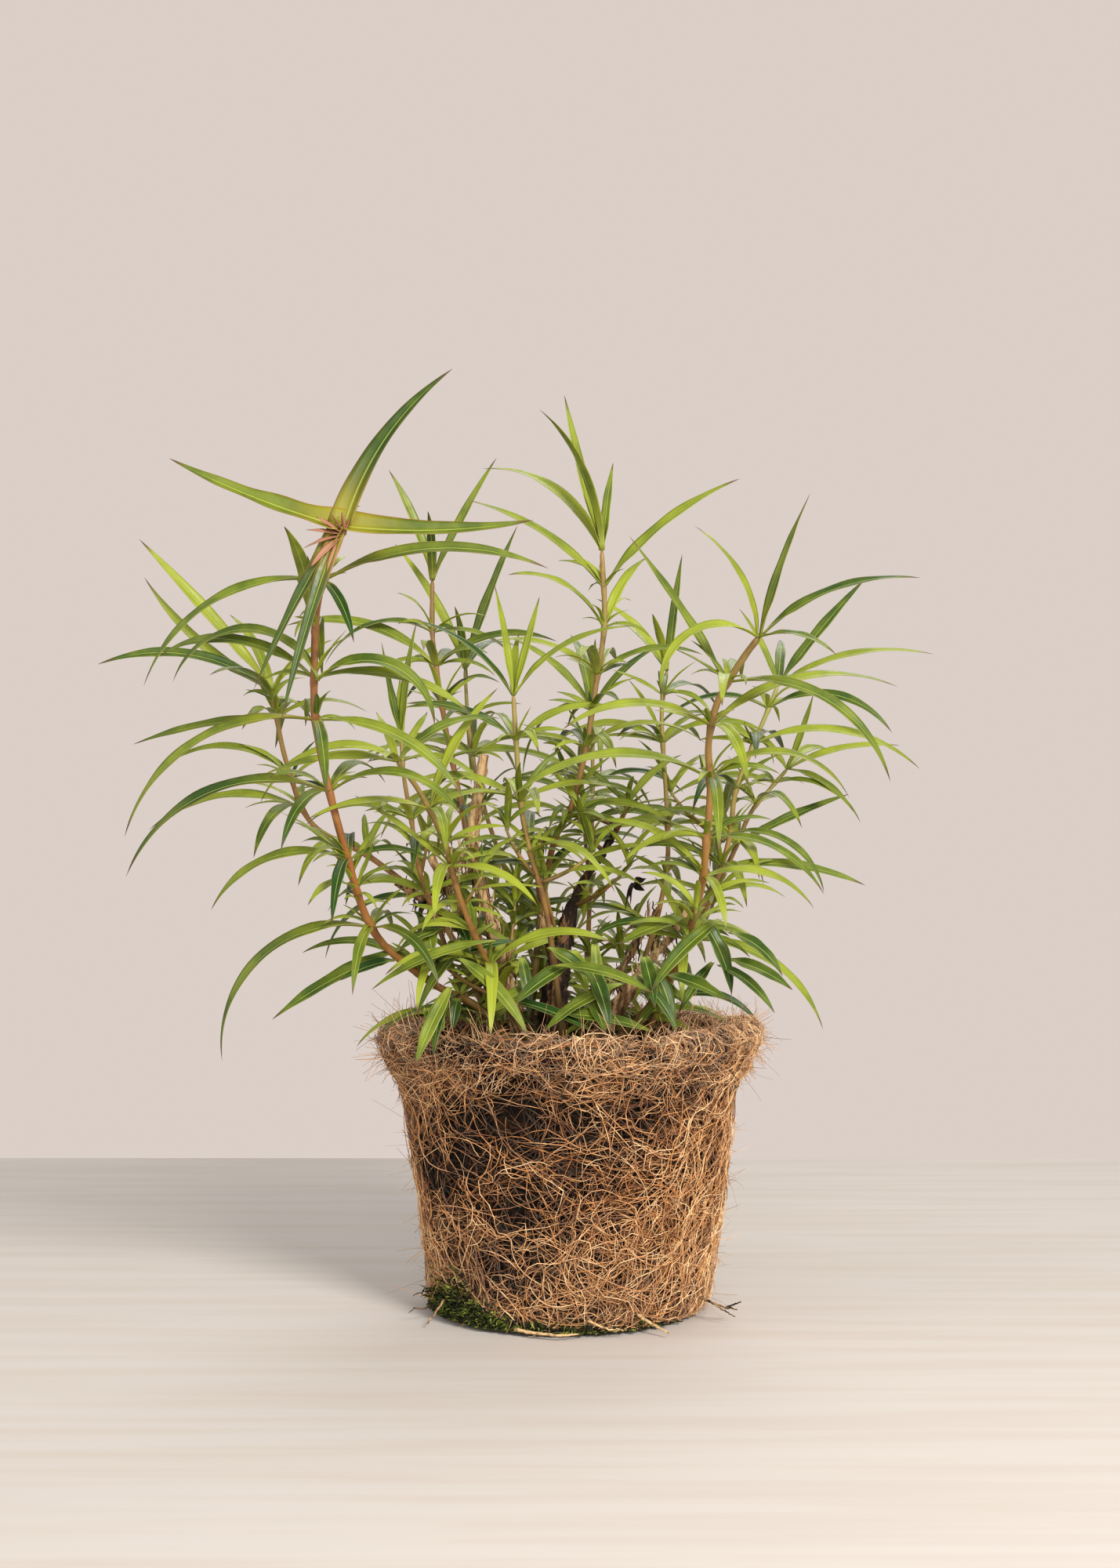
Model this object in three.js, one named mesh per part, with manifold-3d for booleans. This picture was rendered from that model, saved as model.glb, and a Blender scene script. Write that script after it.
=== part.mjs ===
// A penstemon growing in a coconut-fibre pot: leafy stems and old cut wood planted in compost.
// Millimetres, +Z up. The origin is the centre of the pot's foot, and the plant is seen from -Y.
import * as THREE from "three";
import { mergeVertices } from "three/addons/utils/BufferGeometryUtils.js";
import Module from "manifold-3d";

const wasm = await Module();
wasm.setup();

// ---- Driving dimensions ----

// The pot: a pressed fibre cup with straight, slightly spread sides and a flared lip.
const POT_HEIGHT = 105;
const FOOT_RADIUS = 47;
const FOOT_ROUND = 5;
const SIDE_RADIUS_LOW = 52.5;
const SIDE_RADIUS_HIGH = 62;
const LIP_RADIUS = 69;
const LIP_DEPTH = 24;
const WALL = 6.5;
const FLOOR = 8;
const LATHE_STEPS = 36;

// The compost that fills the pot, a little below the lip and raised round the stems.
const COMPOST_BELOW_LIP = 9;
const COMPOST_DOME = 4;
const PLANTED_DEPTH = 9;

// Clearance between pieces that touch in the real plant.
const GAP = 0.3;

// How far the shoots have grown up and out; 1 is as their paths are written.
const GROWTH_UP = 1;
const GROWTH_OUT = 1;

// Leaves: width from length, blade thickness, and the clasping collar where a pair meets the stem.
const LEAF_WIDTH_BASE = 1.4;
const LEAF_WIDTH_SHARE = 0.056;
const LEAF_THICKNESS = 0.9;
const COLLAR_WALL = 0.9;
const COLLAR_LENGTH = 3.2;

// Stems have six sides and a ring every STEM_STEP.
const STEM_SIDES = 6;
const STEM_STEP = 16;

// A leaf that would cross a neighbour is turned about its stem by this much at a time, then lifted.
const TURN_STEP = 5;
const NEAR_TURNS = 9;
const ALL_TURNS = 36;
const LIFT_STEP = 9;
const MOST_LIFTS = 6;

// ---- The plant ----
// A shoot's path starts on the compost's surface and its heights are counted from there. girth is the stem's
// radius at the ground and at the growing tip.
// A leaf is [heading, length, rise, droop]: the heading in degrees from +X towards +Y, the degrees it rises
// where it leaves the stem, and how far it has bent down again at its tip. A whorl starts with where it
// grows, in path points from the ground. The tip's leaves grow from the stem's end.
const SHOOTS = {
  front_left: {
    path: [[-20, -14, 0], [-33, -17, 17], [-51, -28, 28], [-70, -48, 47], [-79, -66, 77], [-87, -82, 117],
      [-87, -91, 145], [-84, -101, 165], [-75, -117, 184]],
    girth: [1.8, 1.35],
    whorls: [
      [3.1, [187, 82, 12, 108], [318, 42, 10, 80], [85, 48, 30, 70], [262, 40, 0, 70]],
      [3.9, [183, 55, 22, 85], [12, 30, 30, 60], [95, 44, 44, 80], [268, 46, 4, 66]],
      [4.5, [186, 83, 22, 90], [338, 57, 35, 90], [70, 46, 50, 90], [250, 44, 6, 70]],
      [5.15, [190, 82, 10, 84], [352, 60, 4, 62], [100, 52, 40, 80], [282, 46, -6, 60]],
      [7.15, [182, 74, 8, 78], [5, 78, 30, 52], [92, 56, 36, 70], [300, 34, -20, 44]],
    ],
    tip: [[177, 61, 16, -12], [18, 66, 74, 36], [2, 62, -6, -16], [200, 61, -58, 8], [222, 68, -66, 8],
      [80, 24, 40, 30]],
  },
  front_centre: {
    path: [[-12, -25, 0], [-21, -26, 16], [-28, -30, 30], [-37, -42, 52], [-42, -50, 68], [-45, -58, 81],
      [-53, -68, 98], [-60, -77, 108]],
    girth: [1.5, 1.0],
    whorls: [
      [2.2, [202, 43, 35, 75], [352, 50, 50, 78], [275, 52, 20, 100]],
      [4.2, [205, 44, 42, 12], [330, 40, 10, 60], [262, 44, 16, 84], [75, 34, 40, 70]],
      [5.6, [10, 50, 78, 34], [202, 46, 20, 50], [285, 40, 10, 70]],
    ],
    tip: [[172, 50, 12, 36], [24, 44, 52, 60], [262, 30, 20, 40], [120, 26, 60, 30]],
  },
  left: {
    path: [[-28, 5, 0], [-34, 6, 18], [-50, 9, 50], [-75, 12, 72], [-99, 10, 86], [-108, 5, 108],
      [-112, 0, 128], [-113, -3, 137]],
    girth: [1.6, 0.95],
    whorls: [
      [4.3, [183, 62, 26, 68], [100, 46, 40, 70], [250, 48, 14, 76], [350, 30, 60, 70]],
      [5.9, [176, 56, 0, 20], [20, 38, 40, 70], [82, 50, 34, 64], [262, 44, 22, 60]],
    ],
    tip: [[181, 76, 52, 6], [190, 68, 38, 60], [168, 68, 24, -34], [130, 44, 66, 40], [30, 32, 60, 40]],
  },
  left_inner: {
    path: [[-32, -8, 0], [-42, -14, 27], [-50, -22, 52], [-56, -28, 71], [-58, -30, 86], [-61, -31, 104],
      [-62, -31, 118]],
    girth: [1.25, 0.85],
    whorls: [[4.1, [80, 46, 38, 70], [255, 40, 40, 70], [172, 44, 34, 74], [4, 40, 44, 60]]],
    tip: [[170, 36, 76, -6], [15, 43, 88, 10], [95, 30, 60, 20]],
  },
  back_left: {
    path: [[-20, 20, 0], [-27, 24, 27], [-38, 31, 67], [-43, 37, 94], [-49, 42, 122], [-53, 43, 147],
      [-55, 44, 164], [-55, 45, 184]],
    girth: [1.5, 1.0],
    whorls: [
      [5.1, [172, 67, 47, 62], [354, 52, 46, 68], [78, 60, 34, 70], [262, 44, 40, 70]],
    ],
    tip: [[178, 48, 80, 22], [8, 56, 68, 10], [95, 46, 55, 40], [272, 34, 62, 30]],
  },
  back_inner: {
    path: [[-6, 27, 0], [-13, 38, 27], [-26, 52, 67], [-36, 61, 97], [-41, 66, 124], [-43, 68, 150]],
    girth: [1.35, 0.85],
    whorls: [[3.6, [150, 58, 36, 76], [335, 50, 40, 80], [72, 58, 30, 70], [240, 44, 40, 74]]],
    tip: [[172, 60, 72, 22], [12, 64, 74, 8], [70, 52, 40, 50], [262, 30, 70, 30]],
  },
  centre: {
    path: [[-2, -16, 0], [-5, -18, 27], [-9, -20, 55], [-14, -22, 73], [-18, -22, 92], [-20, -22, 117],
      [-21, -22, 134]],
    girth: [1.4, 1.0],
    whorls: [
      [4.1, [12, 44, 34, 60], [200, 44, 40, 60], [105, 34, 44, 60], [282, 44, 30, 76]],
      [5.0, [286, 34, 30, 80], [110, 40, 46, 60], [178, 44, 44, 50], [6, 40, 50, 60]],
    ],
    tip: [[172, 42, 84, 6], [2, 38, 76, 0], [350, 54, 58, 58], [188, 46, 60, 44], [90, 30, 66, 20]],
  },
  tall_centre: {
    path: [[-16, 10, 0], [-14, 9, 22], [-11, 5, 52], [-8, 0, 71], [-5, -7, 82], [1, -10, 94], [6, -12, 115],
      [10, -12, 140], [13, -12, 162], [12, -13, 189]],
    girth: [1.65, 1.1],
    whorls: [
      [6.0, [190, 46, 26, 60], [8, 50, 42, 80], [284, 46, 30, 84], [104, 50, 36, 76]],
      [7.1, [262, 54, 36, 68], [82, 58, 40, 62], [178, 44, 48, 60], [350, 42, 44, 66]],
      [7.9, [205, 46, 62, 74], [52, 40, 70, 44]],
      [8.5, [174, 62, 52, 38], [3, 66, 56, 34]],
    ],
    tip: [[178, 60, 75, -4], [236, 64, 80, 60], [140, 72, 62, 60], [40, 34, 86, 10]],
  },
  back: {
    path: [[4, 30, 0], [7, 50, 27], [9, 72, 67], [10, 86, 102], [10, 94, 134]],
    girth: [1.4, 0.9],
    whorls: [[3.0, [62, 58, 32, 86], [236, 44, 40, 70], [150, 56, 30, 74], [330, 46, 34, 76]]],
    tip: [[100, 60, 58, 40], [20, 50, 60, 40], [168, 48, 62, 40], [275, 34, 70, 20]],
  },
  front_right: {
    path: [[16, -4, 0], [24, -7, 10], [31, -10, 19], [38, -16, 30], [43, -24, 43], [48, -36, 64],
      [49, -43, 77], [50, -52, 99], [49, -58, 115], [52, -64, 130], [60, -71, 144], [65, -77, 151]],
    girth: [1.85, 1.35],
    whorls: [
      [4.0, [352, 64, 6, 78], [262, 34, -6, 80], [172, 40, 44, 90]],
      [5.2, [178, 48, 62, 70], [284, 34, 4, 84], [20, 50, 20, 70]],
      [7.2, [194, 80, 30, 74], [350, 57, 46, 108], [272, 50, 6, 80], [92, 44, 40, 70]],
      [8.4, [196, 58, 32, 68], [8, 74, 44, 64], [286, 48, 4, 66]],
      [9.4, [350, 72, 10, 84], [172, 62, 60, 6], [262, 42, 20, 70], [76, 50, 40, 70]],
    ],
    tip: [[6, 53, 76, 10], [176, 46, 88, 54], [354, 60, 46, 52], [190, 50, 36, 134], [312, 36, 12, 50]],
  },
  back_right: {
    path: [[28, 8, 0], [36, 9, 20], [46, 9, 45], [57, 10, 66], [62, 11, 82], [64, 12, 98], [70, 14, 114],
      [76, 15, 128], [81, 16, 140]],
    girth: [1.55, 0.95],
    whorls: [
      [3.2, [356, 56, 10, 34], [176, 40, 44, 70], [280, 44, 20, 80], [88, 54, 26, 76]],
      [6.2, [354, 68, 26, 69], [140, 40, 50, 60], [268, 46, 26, 70], [70, 52, 30, 66]],
    ],
    tip: [[4, 54, 56, 10], [352, 62, 34, 46], [80, 42, 50, 40], [160, 34, 74, 20]],
  },
  right_inner: {
    path: [[14, 14, 0], [22, 17, 17], [32, 19, 42], [38, 20, 69], [38, 20, 92], [36, 20, 128],
      [38, 20, 146]],
    girth: [1.4, 0.9],
    whorls: [[4.7, [66, 46, 36, 66], [246, 40, 40, 76], [160, 46, 40, 76], [338, 44, 40, 70]]],
    tip: [[10, 46, 84, 2], [178, 40, 68, 44], [120, 46, 50, 40], [250, 30, 64, 40]],
  },
  right_low: {
    path: [[24, 25, 0], [38, 30, 20], [52, 34, 48], [64, 36, 72], [72, 38, 90], [80, 39, 100],
      [87, 40, 108]],
    girth: [1.4, 0.85],
    whorls: [[3.3, [10, 50, 30, 12], [100, 48, 20, 60], [280, 40, 20, 80]]],
    tip: [[356, 46, 30, 36], [8, 32, 66, -10], [330, 34, -8, 46], [60, 44, 36, 50], [150, 26, 60, 30]],
  },
};

// Old wood left from earlier seasons, each a bare stem cut or broken off, given as a shoot without leaves.
const OLD_WOOD = {
  old_stump_centre: { path: [[-7, -2, 0], [-6, -2, 20], [-3, -1, 40], [3, 1, 60], [12, 3, 74], [19, 4, 86]],
    girth: [4.4, 1.3] },
  old_stump_right: { path: [[7, -21, 0], [13, -22, 11], [20, -23, 22], [27, -23, 31]], girth: [3.2, 2.3] },
  old_cut_stem: { path: [[-18, -3, 0], [-24, -6, 28], [-33, -12, 62], [-36, -18, 80], [-32, -22, 112]],
    girth: [2.6, 2.1] },
};

// ---- Colours ----
const COLOURS = {
  coir: { color: 0x9a6a3f, roughness: 0.95, metalness: 0 },
  compost: { color: 0x2a1e16, roughness: 1, metalness: 0 },
  stem: { color: 0x9a6a42, roughness: 0.55, metalness: 0 },
  leaf: { color: 0x6f9440, roughness: 0.5, metalness: 0 },
  bark: { color: 0x4a3626, roughness: 0.95, metalness: 0 },
};

const material = (name) => new THREE.MeshStandardMaterial(COLOURS[name]);

// ---- Solids ----

// A closed geometry through rings of equally many points; the ends are fans to a point of their own.
function loft(rings, start, end) {
  const sides = rings[0].length;
  const points = [start, ...rings.flat(), end];
  const last = points.length - 1;
  const index = [];
  for (let k = 0; k < sides; k++) {
    const next = (k + 1) % sides;
    index.push(0, 1 + next, 1 + k);
    for (let r = 0; r + 1 < rings.length; r++) {
      const a = 1 + r * sides;
      const b = a + sides;
      index.push(a + k, a + next, b + k, a + next, b + next, b + k);
    }
    index.push(last, last - sides + k, last - sides + next);
  }
  const geometry = new THREE.BufferGeometry();
  const numbers = points.flatMap((point) => point.toArray());
  geometry.setAttribute("position", new THREE.Float32BufferAttribute(numbers, 3));
  geometry.setIndex(index);
  return geometry;
}

// A closed geometry as a solid that can be joined and cut.
function solid(geometry) {
  const bare = geometry.clone();
  bare.deleteAttribute("normal");
  bare.deleteAttribute("uv");
  const merged = mergeVertices(bare, 1e-4);
  return new wasm.Manifold(new wasm.Mesh({
    numProp: 3,
    vertProperties: new Float32Array(merged.attributes.position.array),
    triVerts: new Uint32Array(merged.index.array),
  }));
}

function geometryOf(made) {
  const mesh = made.getMesh();
  const geometry = new THREE.BufferGeometry();
  geometry.setAttribute("position", new THREE.BufferAttribute(new Float32Array(mesh.vertProperties), 3));
  geometry.setIndex(new THREE.BufferAttribute(new Uint32Array(mesh.triVerts), 1));
  geometry.computeVertexNormals();
  return geometry;
}

const degrees = THREE.MathUtils.degToRad;

// ---- Stems ----

const COMPOST_TOP = POT_HEIGHT - COMPOST_BELOW_LIP;

// The shoot's centre line: down in the compost first, then through its path.
function stemCurve(shoot) {
  const raised = shoot.path.map(([x, y, z]) =>
    new THREE.Vector3(x * GROWTH_OUT, y * GROWTH_OUT, COMPOST_TOP + z * GROWTH_UP));
  const planted = raised[0].clone().setZ(COMPOST_TOP - PLANTED_DEPTH);
  return new THREE.CatmullRomCurve3([planted, ...raised], false, "catmullrom", 0.5);
}

// Where on the curve, from 0 to 1, a place counted in path points from the ground is.
const along = (shoot, at) => (at + 1) / shoot.path.length;

// The stem's radius at a share of the curve.
const radiusAt = (shoot, t) => THREE.MathUtils.lerp(shoot.girth[0], shoot.girth[1], t);

// A round rod along the shoot's curve from share t0 to t1, grown by extra all round.
function rod(shoot, t0, t1, extra, sides = STEM_SIDES) {
  const curve = stemCurve(shoot);
  const steps = Math.ceil((curve.getLength() * (t1 - t0)) / STEM_STEP);
  const rings = [];
  let across = new THREE.Vector3(1, 0, 0);
  for (let i = 0; i <= steps; i++) {
    const t = THREE.MathUtils.lerp(t0, t1, i / steps);
    const ahead = curve.getTangent(t);
    across = across.clone().addScaledVector(ahead, -across.dot(ahead)).normalize();
    const side = ahead.clone().cross(across);
    const centre = curve.getPoint(t);
    const radius = radiusAt(shoot, t) + extra;
    rings.push(Array.from({ length: sides }, (_, k) => {
      const a = (2 * Math.PI * k) / sides;
      return centre.clone()
        .addScaledVector(across, radius * Math.cos(a))
        .addScaledVector(side, radius * Math.sin(a));
    }));
  }
  const start = curve.getPoint(t0).addScaledVector(curve.getTangent(t0), -extra);
  const end = curve.getPoint(t1).addScaledVector(curve.getTangent(t1), extra);
  return loft(rings, start, end);
}

// ---- Leaves ----

// Shares of the leaf's length where it has a ring, and its width there as a share of its full width.
const BLADE = [[0, 0.42], [0.12, 0.72], [0.34, 1], [0.58, 0.84], [0.8, 0.46]];

// The leaf's centre line by small steps: it leaves at its rise and bends down evenly.
function leafLine(from, [heading, length, rise, droop]) {
  const steps = 40;
  const flat = new THREE.Vector3(Math.cos(degrees(heading)), Math.sin(degrees(heading)), 0);
  const points = [from.clone()];
  for (let i = 0; i < steps; i++) {
    const angle = degrees(rise - (droop * (i + 0.5)) / steps);
    const step = flat.clone().multiplyScalar(Math.cos(angle)).setZ(Math.sin(angle));
    points.push(points[i].clone().addScaledVector(step, length / steps));
  }
  return (share) => points[Math.round(share * steps)];
}

// The blade turns its upper side towards the light at -Y, by this much where it lies across the light.
const FACE_LIGHT = 38;

// One leaf's blade: flat above with a keel below, pointed at the tip.
function blade(from, leaf) {
  const [heading, length, rise, droop] = leaf;
  const line = leafLine(from, leaf);
  const width = LEAF_WIDTH_BASE + LEAF_WIDTH_SHARE * length;
  const flat = new THREE.Vector3(Math.cos(degrees(heading)), Math.sin(degrees(heading)), 0);
  const level = new THREE.Vector3(-flat.y, flat.x, 0);
  const rings = BLADE.map(([share, wide]) => {
    const angle = degrees(rise - droop * share);
    const ahead = flat.clone().multiplyScalar(Math.cos(angle)).setZ(Math.sin(angle));
    const roll = degrees(FACE_LIGHT * flat.x * Math.min(1, share * 4));
    const side = level.clone().applyAxisAngle(ahead, roll);
    const up = ahead.clone().cross(side);
    const centre = line(share);
    const half = (width * wide) / 2;
    return [
      centre.clone().addScaledVector(side, -half),
      centre.clone().addScaledVector(up, -LEAF_THICKNESS),
      centre.clone().addScaledVector(side, half),
    ];
  });
  const middle = rings[0][0].clone().add(rings[0][1]).add(rings[0][2]).divideScalar(3);
  return solid(loft(rings, middle, line(1)));
}

// ---- Putting the plant together ----

const placed = [];

function crosses(made) {
  const box = made.boundingBox();
  return placed.some((other) => {
    const far = [0, 1, 2].some((k) => box.min[k] > other.box.max[k] || box.max[k] < other.box.min[k]);
    return !far && !made.intersect(other.made).isEmpty();
  });
}

// The places tried for a leaf, nearest first: its own, then turned either way, then lifted and turned.
function* tries([heading, length, rise, droop]) {
  for (const mostTurns of [NEAR_TURNS, ALL_TURNS]) {
    for (let lift = 0; lift <= MOST_LIFTS; lift++) {
      for (let turn = 0; turn <= mostTurns; turn++) {
        for (const way of turn ? [1, -1] : [1]) {
          yield [heading + way * turn * TURN_STEP, length, rise + lift * LIFT_STEP, droop];
        }
      }
    }
  }
}

// A leaf grown from a point on its stem, in the first place where it is clear of what is there already.
function grow(from, leaf, hollow) {
  for (const tried of tries(leaf)) {
    const made = blade(from, tried).subtract(hollow);
    if (made.decompose().length === 1 && !crosses(made)) return made;
  }
  return blade(from, leaf).subtract(hollow);
}

const plant = new THREE.Group();

function add(name, geometry, finish) {
  const mesh = new THREE.Mesh(geometry, material(finish));
  mesh.name = name;
  plant.add(mesh);
}

function place(name, made, finish) {
  placed.push({ made, box: made.boundingBox() });
  add(name, geometryOf(made), finish);
}

// The pot is a turned cup. Its profile runs out along the foot, up, over the lip and back down inside.
function potProfile() {
  const lipStart = POT_HEIGHT - LIP_DEPTH;
  const outside = [
    [FOOT_RADIUS, 0],
    [FOOT_RADIUS + FOOT_ROUND * 0.75, FOOT_ROUND * 0.3],
    [SIDE_RADIUS_LOW, FOOT_ROUND + 2],
    [SIDE_RADIUS_HIGH, lipStart],
    [(SIDE_RADIUS_HIGH + LIP_RADIUS) / 2, lipStart + LIP_DEPTH * 0.55],
    [LIP_RADIUS, POT_HEIGHT - WALL * 0.35],
    [LIP_RADIUS - WALL * 0.4, POT_HEIGHT],
  ];
  const inside = [
    [LIP_RADIUS - WALL, POT_HEIGHT - WALL * 0.2],
    [SIDE_RADIUS_HIGH - WALL, lipStart],
    [SIDE_RADIUS_LOW - WALL, FLOOR],
  ];
  return { outside, inside };
}

function turned(points) {
  const lathe = new THREE.LatheGeometry(points.map(([r, z]) => new THREE.Vector2(r, z)), LATHE_STEPS);
  return lathe.rotateX(Math.PI / 2);
}

function pot() {
  const { outside, inside } = potProfile();
  return turned([[0, 0], ...outside, ...inside, [0, FLOOR]]);
}

// The compost follows the pot's inside with a gap, and has a hollow for each stem planted in it.
function compost(planted) {
  const inner = potProfile().inside;
  const [lip, side, low] = inner;
  const share = (COMPOST_TOP - COMPOST_DOME - side[1]) / (lip[1] - side[1]);
  const rim = THREE.MathUtils.lerp(side[0], lip[0], share) - 2 * GAP;
  const body = solid(turned([
    [0, FLOOR + GAP],
    [low[0] - GAP, FLOOR + GAP],
    [side[0] - 2 * GAP, side[1]],
    [rim, COMPOST_TOP - COMPOST_DOME],
    [rim * 0.7, COMPOST_TOP - COMPOST_DOME * 0.3],
    [0, COMPOST_TOP],
  ]));
  return planted.reduce((rest, root) => rest.subtract(root), body);
}

const everyStem = Object.entries({ ...OLD_WOOD, ...SHOOTS });

place("coir_pot", solid(pot()), "coir");
place("compost", compost(everyStem.map(([, shoot]) => solid(rod(shoot, 0, 1, GAP)))), "compost");

for (const [name, shoot] of everyStem) {
  const isOld = name in OLD_WOOD;
  place(isOld ? name : name + "_stem", solid(rod(shoot, 0, 1, 0)), isOld ? "bark" : "stem");
}

// A whorl of leaves held together by a collar round the stem, hollow where the stem goes through. The collar
// runs from share t0 to t1 of the stem's curve.
function whorl(shoot, t0, t1, leaves) {
  const hollow = solid(rod(shoot, 0, 1, GAP));
  const collar = solid(rod(shoot, t0, t1, GAP + COLLAR_WALL)).subtract(hollow);
  const from = stemCurve(shoot).getPoint((t0 + t1) / 2);
  return leaves.reduce((all, leaf) => all.add(grow(from, leaf, hollow)), collar);
}

for (const [name, shoot] of Object.entries(SHOOTS)) {
  const reach = COLLAR_LENGTH / 2 / stemCurve(shoot).getLength();
  place(name + "_tip", whorl(shoot, 1 - reach, 1, shoot.tip), "leaf");
  shoot.whorls.forEach(([at, ...leaves], i) => {
    const t = along(shoot, at);
    place(name + "_leaves_" + (i + 1), whorl(shoot, t - reach, t + reach, leaves), "leaf");
  });
}

export default plant;
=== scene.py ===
"""A penstemon in a coconut-fibre pot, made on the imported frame: plant, old wood, compost and fibres."""

from __future__ import annotations

import logging
import math
from dataclasses import dataclass, field
from enum import Enum

import bpy
import numpy as np
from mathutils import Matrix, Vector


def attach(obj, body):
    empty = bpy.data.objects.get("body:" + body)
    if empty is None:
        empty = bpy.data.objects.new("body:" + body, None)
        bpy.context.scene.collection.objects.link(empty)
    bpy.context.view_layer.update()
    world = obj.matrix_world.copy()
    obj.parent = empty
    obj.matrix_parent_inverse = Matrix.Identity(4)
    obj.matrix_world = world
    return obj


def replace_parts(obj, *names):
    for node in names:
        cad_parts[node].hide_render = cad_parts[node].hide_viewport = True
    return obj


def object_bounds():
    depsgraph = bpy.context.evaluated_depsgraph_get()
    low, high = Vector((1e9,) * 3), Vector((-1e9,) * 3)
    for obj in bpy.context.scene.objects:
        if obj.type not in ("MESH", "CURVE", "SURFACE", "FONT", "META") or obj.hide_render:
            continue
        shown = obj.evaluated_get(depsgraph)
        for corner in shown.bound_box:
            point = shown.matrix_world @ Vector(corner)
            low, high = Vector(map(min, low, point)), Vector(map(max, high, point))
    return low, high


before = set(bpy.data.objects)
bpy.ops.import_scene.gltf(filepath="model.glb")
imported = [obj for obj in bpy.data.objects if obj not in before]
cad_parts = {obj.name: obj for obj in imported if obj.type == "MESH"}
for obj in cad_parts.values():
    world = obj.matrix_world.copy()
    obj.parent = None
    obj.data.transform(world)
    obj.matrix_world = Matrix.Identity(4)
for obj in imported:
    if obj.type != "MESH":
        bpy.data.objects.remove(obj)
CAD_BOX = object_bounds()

log = logging.getLogger("penstemon")

MM = 0.001
POT_HEIGHT = 105.0
COMPOST_TOP = 96.0
PLANTED_DEPTH = 9.0
CLEAR_OF_LIP = 77.0
LEFT_JOINT = (-86.0, -91.0, 231.0)
LEFT_TIP = (-74.0, -119.0, 277.0)
CUT_ENDS = ((-54.0, -20.0, 153.0), (24.0, -14.0, 160.0))
ROOT = "root"


class Slot(str, Enum):
    """The material slots."""

    COIR = "coir"
    COMPOST = "compost"
    STEM = "stem"
    LEAF = "leaf"
    OLD_WOOD = "old_wood"


# ---- Working with meshes ----


def clear_selection() -> None:
    """Leaves object mode with nothing selected."""
    if bpy.context.object and bpy.context.object.mode != "OBJECT":
        bpy.ops.object.mode_set(mode="OBJECT")
    bpy.ops.object.select_all(action="DESELECT")


def pick(obj: bpy.types.Object) -> None:
    """Makes obj the only selected and the active object."""
    clear_selection()
    obj.select_set(True)
    bpy.context.view_layer.objects.active = obj


def edit_all(obj: bpy.types.Object) -> None:
    """Opens obj in edit mode with everything selected."""
    pick(obj)
    bpy.ops.object.mode_set(mode="EDIT")
    bpy.ops.mesh.select_all(action="SELECT")


def close_edit() -> None:
    """Goes back to object mode."""
    bpy.ops.object.mode_set(mode="OBJECT")


def face_out(obj: bpy.types.Object) -> None:
    """Merges doubled vertices and turns every face outwards."""
    edit_all(obj)
    bpy.ops.mesh.remove_doubles(threshold=1e-7)
    bpy.ops.mesh.normals_make_consistent(inside=False)
    close_edit()


def points_of(obj: bpy.types.Object) -> np.ndarray:
    """The vertex positions of obj, one row each."""
    flat = np.empty(len(obj.data.vertices) * 3)
    obj.data.vertices.foreach_get("co", flat)
    return flat.reshape(-1, 3)


def set_points(obj: bpy.types.Object, points: np.ndarray) -> None:
    """Moves the vertices of obj to points."""
    obj.data.vertices.foreach_set("co", points.ravel())
    obj.data.update()


@dataclass
class Shape:
    """One modelled form as plain arrays, ready to be copied.

    Attributes:
        points: Vertex positions, one row each.
        corners: The vertex at each face corner.
        sizes: How many corners each face has.
        uv: The UV of each face corner.
        finish: The material place of each face.
    """

    points: np.ndarray
    corners: np.ndarray
    sizes: np.ndarray
    uv: np.ndarray
    finish: np.ndarray

    @classmethod
    def taken_from(cls, obj: bpy.types.Object) -> Shape:
        """Reads obj's mesh and then removes obj.

        Args:
            obj: The modelled object.

        Returns:
            The same mesh as arrays.
        """
        mesh = obj.data
        corners = np.empty(len(mesh.loops), dtype=np.int32)
        mesh.loops.foreach_get("vertex_index", corners)
        sizes = np.empty(len(mesh.polygons), dtype=np.int32)
        mesh.polygons.foreach_get("loop_total", sizes)
        finish = np.empty(len(mesh.polygons), dtype=np.int32)
        mesh.polygons.foreach_get("material_index", finish)
        uv = np.zeros(len(mesh.loops) * 2)
        if mesh.uv_layers:
            mesh.uv_layers[0].uv.foreach_get("vector", uv)
        shape = cls(points_of(obj), corners, sizes, uv.reshape(-1, 2), finish)
        bpy.data.objects.remove(obj)
        bpy.data.meshes.remove(mesh)
        return shape


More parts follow.
